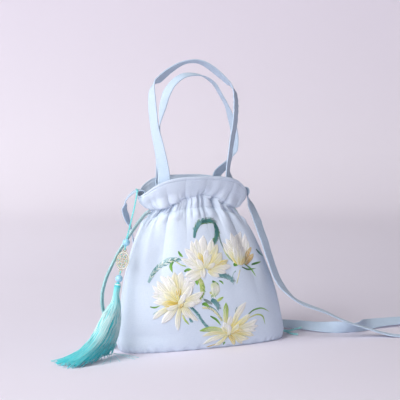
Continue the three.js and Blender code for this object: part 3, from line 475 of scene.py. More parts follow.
FOLDS = np.vstack([
    fold_table(38, (0.6, 2.3), (1.0, 2.2), (0.03, 0.09), (0.1, 0.35)),
    fold_table(13, (0.6, 1.9), (2.6, 5.2), (0.06, 0.16), (0.25, 0.8)),
    fold_table(7, (1.4, 3.4), (4, 9), (0.1, 0.3), (0.8, 1.8)),
    # The front's deep tucks at the neck, and the two broad valleys that run down from it
    (-60, 3.0, 3.4, 0.05, 0.1), (-28.5, 2.6, 2.4, 0.06, 0.2), (-2, 3.0, 1.8, 0.06, 0.3),
    (19, 3.4, 2.0, 0.07, 0.2), (62, 2.8, 3.0, 0.05, 0.1), (-50, 2.6, 7, 0.42, 0.05), (16, 2.8, 5, 0.42, 0.05),
])
# How the gathered pleats are smoothed out on the body and on the frill: the height in mm where it begins, the
# mm over which it grows, and the most of it
EASES = ((164, -24, 0.75), (185, 14, 0.66))
# Heights of the seams up the cloth, in mm along its middle
CASING_LOW = 169.5
CASING_HIGH = 182.5
HEM_LINE = 204.6


def mm_up(level):
    """How far up the cloth a level is, in mm."""
    return np.where(level <= 1, level * NECK_HEIGHT, NECK_HEIGHT + (level - 1) * (RIM_HEIGHT - NECK_HEIGHT))


def fine_at(angle, level):
    """How far the folds, seams and puckers pull the cloth in."""
    total = np.zeros(np.broadcast(angle, level).shape)
    up = mm_up(level)
    eased = sum(np.clip((up - start) / over, 0, most) for start, over, most in EASES)
    total -= eased * pleat_at(angle, level)
    for middle, depth, wide, low, high in FOLDS:
        away = np.where(level <= 1, (1 - level) / low, (level - 1) / high)
        total += depth * np.exp(-((turned_by(angle, middle) / wide) ** 2) - away**2)
    # The base seam with its ripples, and a crease above its left part
    ripple = np.sin(np.radians(angle * 41) + 1.7 * np.sin(np.radians(angle * 7)))
    total += 0.7 * ripple * hump(up - 2, 3.4) + 1.3 * hump(up, 1.1)
    total += 0.9 * hump(up - 19, 3) * hump(turned_by(angle, -50), 34)
    # The body's broad unevenness
    broad = np.sin(np.radians(angle * 3 + 50)) * np.sin(level * 5.1 + 0.6)
    total += 0.8 * broad * hump(level - 0.5, 0.3)
    # The casing between its two seams, with its gathers
    gather = np.abs(np.sin(np.radians(angle * 12) + 1.9 * np.sin(np.radians(angle * 5 + 20))))
    total += 1.2 * hump(up - CASING_LOW, 1.5) + 0.9 * hump(up - CASING_HIGH, 1.2)
    total -= 1.3 * hump(up - (CASING_LOW + CASING_HIGH) / 2, 3.6) * (0.4 + gather)
    total -= 1.9 * hump(up - CASING_LOW + 6, 4.0) * gather
    # The hem and the side seams
    total += 0.5 * hump(up - HEM_LINE, 0.7) - 0.3 * (up > HEM_LINE)
    for seam in (-90, 90):
        total += 0.6 * hump(turned_by(angle, seam), 0.8) * (up < HEM_LINE)
    return total


# Where the frill's foot sags over the casing and where the neck's puffs push up: angle, height in mm, reach
# in degrees and in mm, depth
SAGS = (
    (-47, 184, 25, 4, 6.2), (54, 184, 24, 4, 5.4), (140, 184, 30, 4, 4.5), (214, 184, 30, 4, 4.5),
    (3, 178, 17, 9, -4.6), (-22, 177, 6, 7, -2.6), (26, 177, 6, 7, -2.4), (-36, 176, 5, 6, -2.0),
    (41, 176, 5, 6, 1.6), (180, 178, 22, 9, -3.5),
)
SAG_SWELL = 0.42


def cloth_point(angle, level, inset=0.0):
    """A point of the folded cloth, moved in by an inset."""
    angle, level = np.broadcast_arrays(np.asarray(angle, float), np.asarray(level, float))
    sag = bumps(SAGS, angle, mm_up(level))
    points = wall_point(angle, level, inset + fine_at(angle, level) - SAG_SWELL * np.maximum(sag, 0))
    points[..., 2] -= sag
    return points


def cloth_normal(angle, level):
    """The direction out of the cloth's face."""
    angle, level = np.broadcast_arrays(np.asarray(angle, float), np.asarray(level, float))
    along = cloth_point(angle + 0.6, level) - cloth_point(angle - 0.6, level)
    up = cloth_point(angle, level + 0.006) - cloth_point(angle, level - 0.006)
    return unit(np.cross(along, up))


# Materials
class Value:
    """A node's output, which can be added, subtracted and multiplied like a number."""

    def __init__(self, graph, socket):
        self.graph, self.socket = graph, socket

    def __add__(self, other):
        return self.graph.math("ADD", self, other)

    def __sub__(self, other):
        return self.graph.math("SUBTRACT", self, other)

    def __rsub__(self, other):
        return self.graph.math("SUBTRACT", other, self)

    def __mul__(self, other):
        return self.graph.math("MULTIPLY", self, other)


class Graph:
    """A material whose nodes are written as short calls."""

    def __init__(self, name):
        self.material = bpy.data.materials.new(name)
        self.material.use_nodes = True
        self.tree = self.material.node_tree
        self.tree.nodes.clear()
        output = self.tree.nodes.new("ShaderNodeOutputMaterial")
        self.shader = self.tree.nodes.new("ShaderNodeBsdfPrincipled")
        self.tree.links.new(self.shader.outputs[0], output.inputs[0])

    def put(self, socket, value):
        if isinstance(value, Value):
            self.tree.links.new(value.socket, socket)
        else:
            socket.default_value = (*value, 1) if socket.type == "RGBA" else value

    def node(self, kind, inputs=None, output=0, **settings):
        made = self.tree.nodes.new("ShaderNode" + kind)
        for key, value in settings.items():
            setattr(made, key, value)
        for key, value in (inputs or {}).items():
            self.put(made.inputs[key], value)
        return Value(self, made.outputs[output])

    def math(self, operation, a, b=0.0):
        return self.node("Math", {0: a, 1: b}, operation=operation)

    def mix(self, share, a, b, blend="MIX"):
        return self.node("Mix", {0: share, 6: a, 7: b}, 2, data_type="RGBA", blend_type=blend)

    def ranged(self, value, low, high):
        """A value that runs from 0 to 1 between the two limits."""
        return self.node("MapRange", {0: value, 1: low, 2: high})

    def run(self):
        """The thread run, and its two coordinates in millimetres."""
        run = self.node("UVMap", uv_map="thread_run")
        return run, *(self.node("SeparateXYZ", {0: run}, k) * 1000 for k in (0, 1))

    def noise(self, scale, detail, stretch=(1, 1, 1), source=None):
        where = source or self.node("TexCoord", output="Object")
        moved = self.node("Mapping", {"Vector": where, "Scale": stretch})
        return self.node("TexNoise", {"Vector": moved, "Scale": scale, "Detail": detail})

    def wave(self, coordinate, pitch):
        """A wave from 0 to 1 that repeats every pitch."""
        return (self.math("SINE", coordinate * (2 * math.pi / pitch)) + 1) * 0.5

    def finish(self, colour, roughness, height=None, depth=0.0002, strength=0.5, **constants):
        inputs = {"Base Color": colour, "Roughness": roughness}
        if height is not None:
            inputs["Normal"] = self.node("Bump", {"Height": height, "Distance": depth, "Strength": strength})
        inputs.update((key.replace("_", " "), value) for key, value in constants.items())
        for key, value in inputs.items():
            self.put(self.shader.inputs[key], value)
        return self.material


def woven(name, colour, shade, pitch, stitched=None):
    """A plain weave. stitched is the distance from the middle at which stitches run along a strap."""
    g = Graph(name)
    colour, shade = linear(colour), linear(shade)
    run, across, along = g.run()
    warp = g.wave(across, pitch)
    weft = g.wave(along, pitch * 1.08)
    slubs = g.noise(150, 2.0, (1, 12, 1), run) + g.noise(150, 2.0, (12, 1, 1), run)
    mottle = g.noise(28, 4.0)
    tone = (warp - 0.5) * (weft - 0.5) * 0.5 + (slubs * 0.5 + mottle * 0.5)
    base = g.mix((tone - 0.7) * 1.6, colour, shade)
    height = slubs * 0.9 + (warp * 0.5 + weft)
    if stitched is not None:
        line = g.math("LESS_THAN", g.math("ABSOLUTE", g.math("ABSOLUTE", across) - stitched), 0.35)
        dash = g.math("LESS_THAN", g.math("FRACT", along * (1 / 3.1)), 0.72)
        stitch = line * dash
        hole = line * (1 - dash)
        height = height + (stitch - hole) * 2.2
        # Painted shade in the holes between the stitches, which also sink; the stitches are made a little
        # lighter.
        base = g.mix(hole * 0.45, base, 0.45 * shade)
        base = g.mix(stitch * 0.5, base, np.minimum(1.12 * colour, 1))
    return g.finish(base, mottle * 0.2 + 0.72, height, 0.00012, 0.35, Sheen_Weight=0.25, Sheen_Roughness=0.5,
                    Sheen_Tint=(0.86, 0.92, 1.0))


def silky(name, pitch, roughness, tone, twist=0.0, **constants):
    """Fine parallel threads along the run, coloured by the mesh's tint, with painted shade in the grooves
    between them.
    """
    g = Graph(name)
    run, across, along = g.run()
    threads = g.wave(across + along * twist, pitch)
    streaks = g.noise(900, 2.0, (1, 0.09, 1), run)
    tint = g.node("Attribute", attribute_name="tint")
    # Painted shade: tone darkens the tint in the grooves between the threads, in streaks.
    groove_shade = g.mix(1.0, tint, (1 - tone, 1 - tone * 0.92, 1 - tone * 0.8), "MULTIPLY")
    colour = g.mix((1.2 - threads) * g.ranged(streaks, 0.38, 0.62), tint, groove_shade)
    height = threads + streaks * 1.4
    return g.finish(colour, streaks * 0.18 + roughness, height, 0.00018, 0.5, **constants)


def glassy(name, colour, depths):
    g = Graph(name)
    base = g.mix(g.noise(260, 3.0) * 1.2, linear(colour), linear(depths))
    wisps = g.noise(700, 2.0, (1, 1, 2.5))
    return g.finish(base, wisps * 0.08 + 0.05, wisps, 0.0001, 0.12, Transmission_Weight=0.12, IOR=1.5,
                    Coat_Weight=0.6, Coat_Roughness=0.05)


def clouded(name, colour, shade, scale, detail, share, swing, polish, depth, strength, **constants):
    """A hard surface whose colour, polish and height follow one cloud of noise."""
    g = Graph(name)
    cloud = g.noise(scale, detail)
    base = g.mix(cloud * share, linear(colour), linear(shade))
    return g.finish(base, cloud * swing + polish, cloud, depth, strength, **constants)


def enamelled(name, colour, shade):
    return clouded(name, colour, shade, 330, 3.0, 0.8, 0.2, 0.16, 0.0002, 0.4, Coat_Weight=0.5,
                   Coat_Roughness=0.1)


CLOTH_LOOK = woven("pale_blue_cloth", "D6E3F1", "BDCFE3", 0.55)
STRAP_LOOK = woven("blue_strap_cloth", "BDD0E2", "A3BAD0", 0.5, stitched=5.7)
CORD_LOOK = silky("blue_green_cord", 0.28, 0.34, 0.25, 0.35, Sheen_Weight=0.4, Sheen_Roughness=0.35)
SILK_LOOK = silky("embroidery_silk", 0.62, 0.42, 0.3, Sheen_Weight=0.3, Sheen_Roughness=0.4)
TASSEL_LOOK = silky("tassel_silk", 0.3, 0.26, 0.16, Sheen_Weight=0.3, Sheen_Roughness=0.3)
GLASS_LOOK = glassy("light_blue_glass", "BDE8FA", "8FD2F0")
GILT_LOOK = clouded("soft_gilt", "C3B67E", "8A7F4C", 500, 4.0, 1.0, 0.25, 0.2, 0.0001, 0.3, Metallic=1.0)
ENAMEL_LOOK = enamelled("cream_enamel", "FAFAF6", "DDF0EE")
TEAL_LOOK = enamelled("teal_enamel", "6FDCD6", "2FA6A4")

CORD_TINT = linear("9AE2E2")
CORD_PALE = linear("E4F8F8")
THREAD_TINT = linear("84ECEC")


def place(piece, slot, *nodes):
    """Fastens a finished piece to the one body and hides the imported nodes that it replaces. slot is not
    used.
    """
    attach(piece, "root")
    if nodes:
        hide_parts(*nodes)


def dress(node, look):
    """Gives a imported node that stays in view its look."""
    materials = frame["nodes"][node].data.materials
    materials.clear()
    materials.append(look)


# The camera stands where the photograph's did
CAMERA_TURN = -25.0
CAMERA_DIP = 4.16
CAMERA_PLACE = (-552.7, -1176.7, 273.0)
CAMERA_LENS = 95.9
turn, dip = math.radians(CAMERA_TURN), math.radians(CAMERA_DIP)
camera_back = Vector((math.sin(turn) * math.cos(dip), -math.cos(turn) * math.cos(dip), math.sin(dip)))
camera_right = Vector((math.cos(turn), math.sin(turn), 0))
camera_axes = Matrix((camera_right, camera_back.cross(camera_right), camera_back)).transposed()
camera_data = bpy.data.cameras.new("camera")
camera_data.sensor_width = 36
camera_data.lens = CAMERA_LENS
camera_data.clip_end = 20
camera = added("camera", camera_data)
camera.matrix_world = Matrix.Translation(Vector(CAMERA_PLACE) * MM) @ camera_axes.to_4x4()
bpy.context.scene.camera = camera

# The cords
CORD_STEP = 0.9
# The strands of a cord, the length of one turn of its twist, and the sides of a strand
CORD_TWIST = (3, 7.0, 6)
KNOT_POINTS = 90
KNOT_SIDES = 10
KNOT_CORD_RADIUS = 0.42 * CORD_DIAMETER
TIP_FIBRES = 12
loose = np.random.RandomState(5)


def drawstring_path(exit_angle, which, route, knot, beside):
    """One cord of a pair from the neck's side to just before the knot."""
    start = wall_point(exit_angle, 1.0) + outward_at(exit_angle, 1.0) * (PLEAT_DEPTH + CORD_DIAMETER / 2)
    stop = knot + unit(route[-1] - knot) * (KNOT_DIAMETER / 2 + CORD_GAP)
    middles = np.array([start, *route, stop])
    ahead = headings(middles)
    across = unit(beside - ahead * (ahead @ beside)[:, None])
    return even_points(middles + across * (which - 0.5) * (CORD_DIAMETER + CORD_GAP), CORD_STEP)


def knot_piece(name, middle, tips, node):
    """An overhand knot with the pair's two loose, frayed tips."""
    build = Build()
    t = full_turn(KNOT_POINTS)
    coil = np.stack([np.sin(t) + 2 * np.sin(2 * t), np.cos(t) - 2 * np.cos(2 * t), -1.15 * np.sin(3 * t)], 1)
    coil *= (KNOT_DIAMETER / 2 - KNOT_CORD_RADIUS) / 3
    tube(build, middle + coil, KNOT_CORD_RADIUS, KNOT_SIDES, lerp(CORD_TINT, CORD_PALE, 0.25), closed=True)
    for tip in tips:
        path = even_points([middle, *tip], CORD_STEP)
        twisted(build, path, CORD_DIAMETER, *CORD_TWIST, CORD_TINT)
        ahead = unit(path[-1] - path[-3])
        for _ in range(TIP_FIBRES):
            spread = loose.normal(0, 0.4, 3)
            spread -= ahead * (spread @ ahead)
            end = path[-1] + ahead * loose.uniform(1.2, 2.6) + 2.2 * spread
            end[2] = max(end[2], 0.3)
            fibre = [path[-1] - ahead + 0.8 * spread, path[-1] + 1.1 * spread, end]
            tube(build, fibre, (0.22, 0.2, 0.08), 5, lerp(CORD_TINT, CORD_PALE, loose.uniform(0, 0.8)))
    knotted = build.piece(name, CORD_LOOK)
    place(knotted, "cord", node)
    return knotted


right_route = [wall_point(angle, level, -clear) for angle, level, clear in RIGHT_CORD_ROUTE]
for side_name, exit_angle, route, knot, tips, beside in (
    ("left", -90, LEFT_CORD_ROUTE, LEFT_KNOT, LEFT_TIPS, (0.86, 0.51, 0)),
    ("right", 102, right_route, RIGHT_KNOT, RIGHT_TIPS, (0, 1, 0)),
):
    knot_node = f"drawstring_{side_name}_knot"
    knotted = knot_piece(f"{side_name}_drawstring_knot", knot, tips, knot_node)
    for which, where in enumerate(("front", "back")):
        path = drawstring_path(exit_angle, which, np.array(route, float), np.array(knot), np.array(beside))
        build = Build()
        # Painted light: each cord is paler near the neck and darker towards its knot on the floor.
        painted_light_share = np.linspace(0.75, 0.075, len(path))[:, None]
        twisted(build, path, CORD_DIAMETER, *CORD_TWIST, lerp(CORD_TINT, CORD_PALE, painted_light_share))
        cord = build.piece(f"{side_name}_{where}_cord", CORD_LOOK)
        place(cord, "cord", f"drawstring_{side_name}_{where}")
        tuple(path[0] * MM)
        path[::3] * MM


# The straps
def seat_point(angle, level):
    """The strap's middle where it is sewn inside the frill, clear of the wall behind its whole width."""
    out = outward_at(angle, level)
    middle = wall_point(angle, level, CLOTH)
    turns, lifts = np.meshgrid(np.arange(-28, 28.5, 1), np.arange(-0.4, 0.401, 0.04))
    near = wall_point(angle + turns, level + lifts, CLOTH) - middle
    behind = (np.abs(near @ np.cross((0, 0, 1), out)) <= STRAP_WIDTH / 2 + 1) & (np.abs(near[..., 2]) <= 2.5)
    clear = max(0, np.max(np.where(behind, -(near @ out), 0)))
    return middle - out * (clear + STRAP_GAP + STRAP_THICKNESS / 2)


def station_places(points, pieces):
    return np.linspace(0, len(points) - 1, (len(points) - 1) * pieces + 1)


def handle_stations(arch, seats, middle, top_depth, spread, rise):
    """A handle's middle points and the directions across its strap, from the left seat to the right one."""
    (left_low, left_high), (right_low, right_high) = (
        [seat_point(angle, level) for level in (SEAT_LOW_LEVEL, SEAT_HIGH_LEVEL)] for angle in seats
    )
    across, lift, twist = np.transpose(arch)
    seat_depth = np.where(np.arange(len(arch)) < len(arch) / 2, left_high[1], right_high[1])
    depth = lerp(seat_depth, top_depth, np.minimum(lift, 1))
    route = np.stack([middle + across * spread / 2, depth, RIM_HEIGHT + lift * rise], 1)
    points = np.array([left_low, left_high, *route, right_high, right_low])
    in_plane = unit(np.cross((0, 1, 0), points[3:-1] - points[1:-3]))
    widths = swept(np.radians(twist), in_plane, (0, 1, 0))
    first, final = (np.cross((0, 0, 1), outward_at(angle, SEAT_HIGH_LEVEL)) for angle in seats)
    first = first * (1 if first @ widths[0] >= 0 else -1)
    final = final * (1 if final @ widths[-1] >= 0 else -1)
    widths = np.array([first, first, *widths, final, final])
    places = station_places(points, 8)
    return smooth_points(points, places), unit(looked_up(places, np.arange(len(points)), widths))


def shoulder_stations():
    """The long strap's middle points and the directions across it, clear of the floor."""
    left, right = ([seat_point(angle, level) for level in SHOULDER_SEAM_LEVELS] for angle in (-90, 90))
    route = np.array(SHOULDER_ROUTE, float)
    points = np.array([*left, *route[:, :3], *right[::-1]])
    rolls = np.radians(np.pad(route[:, 3], len(SHOULDER_SEAM_LEVELS), constant_values=90))
    places = station_places(points, 6)
    middles = smooth_points(points, places)
    ahead = headings(middles)
    side = unit(np.cross(ahead, (0, 0, 1)))
    across = swept(np.interp(places, np.arange(len(points)), rolls), np.cross(side, ahead), side)
    face = np.cross(ahead, across)
    reach = (STRAP_WIDTH * np.abs(across[:, 2]) + STRAP_THICKNESS * np.abs(face[:, 2])) / 2
    middles[:, 2] = np.maximum(middles[:, 2], reach + FLOOR_GAP)
    return middles, across


def resampled(points, across, step):
    """The same stations, evenly spaced."""
    run = run_along(points)
    at = np.linspace(0, run[-1], int(run[-1] / step) + 1)
    return looked_up(at, run, points), unit(looked_up(at, run, across))


# Half the strap's section, from its edge inwards: share of half its width, and share of half its thickness
STRAP_SECTION = ((1.0, 0.0), (0.99, 0.5), (0.955, 0.86), (0.9, 1.0), (0.82, 0.98), (0.76, 0.72), (0.69, 0.94),
                 (0.45, 0.9), (0.15, 0.86))


def strap_piece(name, points, across, puckers):
    """A folded cloth strap. A pucker is a place along it, its reach and its depth, in mm."""
    upper = [*STRAP_SECTION, *((-u, v) for u, v in STRAP_SECTION[::-1])]
    outline = np.array([*upper, *((u, -v) for u, v in upper[-2:0:-1])])
    wide, thick = outline[:, 0] * STRAP_WIDTH / 2, outline[:, 1] * STRAP_THICKNESS / 2
    ahead = headings(points)
    side = unit(across - ahead * (across * ahead).sum(1, keepdims=True))
    face = np.cross(ahead, side)
    run = run_along(points)
    wrinkle = 0.12 * np.sin(run / 3.7 + 2 * np.sin(run / 23))[:, None] * np.sin(wide / 3.1 + 0.4)
    for at, reach, depth in puckers:
        wave = np.sin((run / 1.25 + np.sin(run / 5.0))[:, None] + wide * 0.5)
        wrinkle += depth * hump(run - at, reach)[:, None] * wave * (1 - (wide / STRAP_WIDTH * 1.6) ** 2)
    rings = side[:, None] * wide[:, None] + face[:, None] * (thick + wrinkle)[..., None]
    rings = ended(points)[:, None] + np.pad(rings, ((1, 1), (0, 0), (0, 0)))
    build = Build()
    build.grid(rings, thread_run(wide, ended(run)), wrap_columns=True)
    return build.piece(name, STRAP_LOOK)


for where, arch, seats, middle, top_depth, spread, rise, puckers in (
    ("front", FRONT_ARCH, (-40, 35), -14, -5, FRONT_HANDLE_SPREAD, FRONT_HANDLE_RISE,
     ((150, 16, 0.15), (266, 22, 0.55), (292, 12, 0.5))),
    ("back", BACK_ARCH, (209, 143), -5, 25, BACK_HANDLE_SPREAD, BACK_HANDLE_RISE,
     ((120, 20, 0.15), (240, 20, 0.15))),
):
    stations = resampled(*handle_stations(arch, seats, middle, top_depth, spread, rise), 1.6)
    place(strap_piece(f"{where}_handle_strap", *stations, puckers), "strap_cloth", f"handle_{where}")

strap_points, strap_across = shoulder_stations()
long_points, long_across = resampled(strap_points, strap_across, 2.4)
long_strap = strap_piece("long_shoulder_strap", long_points, long_across, ((46, 8, 0.25), (1236, 10, 0.3)))
place(long_strap, "strap_cloth", "shoulder_strap")
tuple(long_points[0] * MM)
long_points[::2] * MM

# The pouch
POUCH_COLUMNS = 600
OUTER_ROWS = 118
INNER_ROWS = 44
RIM_INSET = 1.3
angles = np.linspace(-180, 180, POUCH_COLUMNS, endpoint=False)


def denser_levels(count):
    """Levels from 0 to 2, closest together at the base seam, the neck and the rim."""
    even = np.linspace(0, 2, 2001)
    weight = 1 + 3 * hump(even - 1, 0.09) + 1.5 * hump(even, 0.04) + 1.2 * hump(even - 1.95, 0.07)
    run = np.concatenate([[0], np.cumsum((weight[1:] + weight[:-1]) / 2)])
    return np.interp(np.linspace(0, run[-1], count), run, even)


inner_levels = denser_levels(INNER_ROWS)[::-1, None]
inner_inset = CLOTH - (CLOTH - RIM_INSET) * np.clip((inner_levels - 1.2) / 0.7, 0, 1)
outer = cloth_point(angles, denser_levels(OUTER_ROWS)[:, None])
inner = cloth_point(angles, inner_levels, inner_inset)
lip = (outer[-1:] + inner[:1]) / 2 + (0, 0, 0.35)
lip_edges = [(rim + lip) / 2 + (0, 0, 0.2) for rim in (outer[-1:], inner[:1])]
shell = np.concatenate([outer, lip_edges[0], lip, lip_edges[1], inner])
pouch_run = thread_run(run_along(wall_point(angles, 0.4)), run_along(shell[:, POUCH_COLUMNS // 2]))
build = Build()
build.grid(shell, pouch_run, wrap_rows=True, wrap_columns=True)
place(build.piece("pouch_cloth", CLOTH_LOOK), "cloth", "pouch_wall")
dress("base_panel", CLOTH_LOOK)

# Stitches round the casing and the frill's hem, and up both side seams
STITCH_LENGTH = 2.3
STITCH_PITCH = 3.2
STITCH_RADIUS = 0.24
STITCH_TINT = linear("CBDAEC")
ROUND_POINTS = 900
SIDE_POINTS = 400


def stitches(build, angle_line, level_line):
    """Stitches along a line on the cloth, given by its angles and levels."""
    run = run_along(cloth_point(angle_line, level_line))
    for start in np.arange(1, run[-1] - STITCH_LENGTH, STITCH_PITCH):
        at = np.linspace(start, start + STITCH_LENGTH, 4)
        angle = np.interp(at, run, angle_line)
        level = np.interp(at, run, level_line)
        lift = cloth_normal(angle, level) * np.array([-0.15, 0.16, 0.16, -0.15])[:, None]
        tube(build, cloth_point(angle, level) + lift, STITCH_RADIUS, 5, STITCH_TINT)


seams = Build()
levels = np.linspace(0, 2, 2001)
for height in (CASING_LOW, CASING_HIGH, HEM_LINE):
    level = np.interp(height, mm_up(levels), levels)
    stitches(seams, np.linspace(-180, 180, ROUND_POINTS), np.full(ROUND_POINTS, level))
for angle in (-88.4, 91.6):
    stitches(seams, np.full(SIDE_POINTS, angle), np.linspace(0.03, 0.92, SIDE_POINTS))
place(seams.piece("seam_stitches", SILK_LOOK), "cloth")

# The hanging drop
facing = math.radians(DROP_FACING)
drop_up = -unit(np.array(DROP_DOWN))
drop_side = unit(np.cross(drop_up, (math.sin(facing), -math.cos(facing), 0)))
drop_out = np.cross(drop_side, drop_up)
DROP_AXES = np.array([drop_side, drop_up, drop_out])
EYELET_PLACE = MEDALLION_LENGTH / 2 + EYELET_HOLE_DIAMETER / 2
RING_PLACE = EYELET_PLACE + (EYELET_DIAMETER + EYELET_HOLE_DIAMETER) / 4
BEAD_PLACE = RING_PLACE + (THREAD_RING_DIAMETER + THREAD_DIAMETER) / 2 + DROP_GAP + BEAD_DIAMETER / 2
HEAD_PLACE = -(BEAD_PLACE + BEAD_DIAMETER / 2 + DROP_GAP)


def on_drop(local, distance=0.0):
    """Points given across, along and out of the drop, from a distance up it."""
    return (np.asarray(local) + (0, distance, 0)) @ DROP_AXES + DROP_MIDDLE


def drop_point(distance):
    return on_drop((0, distance, 0))


def turned(build, profile, distance, sides, tint=1.0, lobes=0, lobe_depth=0.0):
    """Adds a turned shape: rows of radius and height along the drop, with shallow lobes round it."""
    profile = np.asarray(profile, float)
    around = full_turn(sides)
    radius = profile[:, :1] * (1 - lobe_depth * (0.5 + 0.5 * np.cos(lobes * around)))
    local = radius[..., None] * swept(around, (0, 0, 1), (1, 0, 0)) + profile[:, 1:, None] * (0, 1, 0)
    run = thread_run(around * profile[:, 0].max(), profile[:, 1])
    build.grid(on_drop(local, distance), run, tint, wrap_columns=True)


for name, distance, node in (
    ("upper_glass_bead", BEAD_PLACE, "bead_upper"), ("lower_glass_bead", -BEAD_PLACE, "bead_lower"),
):
    radius = BEAD_DIAMETER / 2
    hole = BEAD_HOLE_DIAMETER / 2
    reach = math.acos(hole / radius)
    profile = [(radius * math.cos(t), radius * math.sin(t)) for t in np.linspace(-reach, reach, 25)]
    profile += [(hole * 0.92, h) for h in np.linspace(profile[-1][1] * 0.96, -profile[-1][1] * 0.96, 6)]
    build = Build()
    turned(build, [*profile, profile[0]], distance, 40, lobes=8, lobe_depth=0.035)
    place(build.piece(name, GLASS_LOOK), "bead_glass", node)

# The medallion's own plate is enamelled, with gilt wires round its edge and openings
dress("medallion", ENAMEL_LOOK)
MEDALLION_HALF = np.array([MEDALLION_WIDTH, MEDALLION_LENGTH]) / 2
WIRE_RADIUS = 0.24
FINE_WIRE_RADIUS = 0.8 * WIRE_RADIUS
# Rings of openings: their count, share of the way out, share of the medallion's size, and first angle
RING_ROWS = ((1, 0.0, 0.13, 0), (6, 0.33, 0.14, 0), (12, 0.68, 0.13, 15))
wires, specks = Build(), Build()


def oval(middle, half, out):
    return swept(full_turn(20), (half[0], 0, 0), (0, half[1], 0)) + (*middle, out)


def medallion_place(share, degrees):
    angle = math.radians(degrees)
    return share * MEDALLION_HALF * (math.cos(angle), math.sin(angle))


for out in (MEDALLION_THICKNESS / 2, -MEDALLION_THICKNESS / 2):
    for share in (0.97, 0.83, 0.5):
        edge = even_points(oval((0, 0), share * MEDALLION_HALF, out), 0.9, closed=True)[:-1]
        tube(wires, on_drop(edge), WIRE_RADIUS, 6, closed=True)
    rims = [(medallion_place(share, first + 360 * k / count), size * MEDALLION_HALF + 0.15)
            for count, share, size, first in RING_ROWS for k in range(count)]
    rims += [((0, end), (radius, radius)) for end in (EYELET_PLACE, -EYELET_PLACE)
             for radius in (EYELET_DIAMETER / 2 - 0.3, EYELET_HOLE_DIAMETER / 2 + 0.2)]
    for middle, half in rims:
        tube(wires, on_drop(oval(middle, half, out)), FINE_WIRE_RADIUS, 5, closed=True)
    for degrees in range(0, 360, 60):
        for share, size in ((0.68, 0.75), (0.42, 0.65)):
            middle = on_drop((*medallion_place(share, degrees), out))
            bump = drop_out * size * 0.7 * np.sign(out)
            tube(specks, [middle - bump, middle, middle + bump * 0.8], (size, size, size * 0.5), 8)
place(wires.piece("medallion_gilt_wires", GILT_LOOK), "enamelled_gilt")
place(specks.piece("medallion_teal_specks", TEAL_LOOK), "enamelled_gilt")


# The thread that hangs the drop from the strap
def thread_ring(build, distance):
    radius = THREAD_RING_DIAMETER / 2
    for shift in (-0.32, 0.32):
        ring = swept(full_turn(28), (0, radius, 0), (0, 0, radius)) + (shift, 0, 0)
        tube(build, on_drop(ring, distance), THREAD_DIAMETER * 0.3, 6, THREAD_TINT, closed=True)


nearest = np.argmin(np.linalg.norm(strap_points - THREAD_LOOP_PLACE, axis=1))
loop_middle, loop_across = strap_points[nearest], strap_across[nearest]
loop_face = np.cross(headings(strap_points)[nearest], loop_across)
half_wide = (STRAP_WIDTH + THREAD_DIAMETER) / 2 + DROP_GAP
half_thick = (STRAP_THICKNESS + THREAD_DIAMETER) / 2 + DROP_GAP


def loop_points(shift):
    """The thread's loop round the strap, shifted along it."""
    directions = swept(full_turn(48), (1, 0), (0, 1))
    squared = np.sign(directions) * np.abs(directions) ** 0.4 * (half_wide, half_thick)
    return loop_middle + np.cross(loop_across, loop_face) * shift + squared @ [loop_across, loop_face]


thread = Build()
for shift in (-0.5, 0.5):
    tube(thread, loop_points(shift), THREAD_DIAMETER * 0.36, 6, THREAD_TINT, closed=True)
thread_ring(thread, RING_PLACE)
bead_top = BEAD_PLACE + BEAD_DIAMETER / 2
loop_front = loop_points(0)[0 if loop_across[1] < 0 else 24]
stem = [drop_point(RING_PLACE + THREAD_RING_DIAMETER / 2), drop_point(bead_top), *THREAD_ROUTE, loop_front]
twisted(thread, even_points(stem, 0.6), THREAD_DIAMETER * 1.6, 2, 6.0, 7, THREAD_TINT)
wrap = swept(np.linspace(0, 6 * np.pi, 60), (1.05, 0, 0), (0, 0, 1.05))
wrap[:, 1] = np.linspace(-1.6, 1.6, 60)
tube(thread, on_drop(wrap, bead_top + 1.6), 0.5, 6, THREAD_TINT)
place(thread.piece("pendant_silk_thread", TASSEL_LOOK), "thread", "pendant_thread")

# The tassel
TASSEL_DEEP = linear("1CDCE4")
TASSEL_MIDDLE = linear("58DEE4")
TASSEL_PALE = linear("DCFBFA")
# A near-white used only for the painted highlight on the head's top winds.
TASSEL_GLOSS_HIGHLIGHT = linear("F2FFFC")
STRAND_COUNT = 240
LOCK_COUNT = 46
STRAND_PLACES = 22
GUIDE_PLACES = 9
CORE_COLUMNS = 48
THREAD_CLEAR = 0.35
HEAD_RADIUS = TASSEL_HEAD_DIAMETER / 2
# The head's inside: share of its radius, and height
HEAD_PROFILE = ((0.0, 0.2), (0.45, 0.1), (0.72, -0.5), (0.86, -1.6), (0.8, -5), (0.74, -10), (0.8, -15),
                (0.6, -17), (0.0, -17))
strands = np.random.RandomState(3)
tassel = Build()
thread_ring(tassel, -RING_PLACE)
tube(tassel, [drop_point(-RING_PLACE - THREAD_RING_DIAMETER / 2), drop_point(HEAD_PLACE - 1)],
     THREAD_DIAMETER / 2, 8, THREAD_TINT)
turned(tassel, [(r * HEAD_RADIUS, h) for r, h in HEAD_PROFILE], HEAD_PLACE, 24, TASSEL_DEEP)
# The head's winds; the top three are mixed towards white as a painted highlight of the satin's gloss.
for wind in range(7):
    radius = HEAD_RADIUS * 0.93
    ring = swept(full_turn(32), (radius, 0, 0), (0, 0, radius))
    tint = lerp(TASSEL_MIDDLE, TASSEL_GLOSS_HIGHLIGHT, 0.85 if wind < 3 else 0.0)
    tube(tassel, on_drop(ring, HEAD_PLACE - 2.0 - 0.55 * wind), 0.36, 6, tint, closed=True)


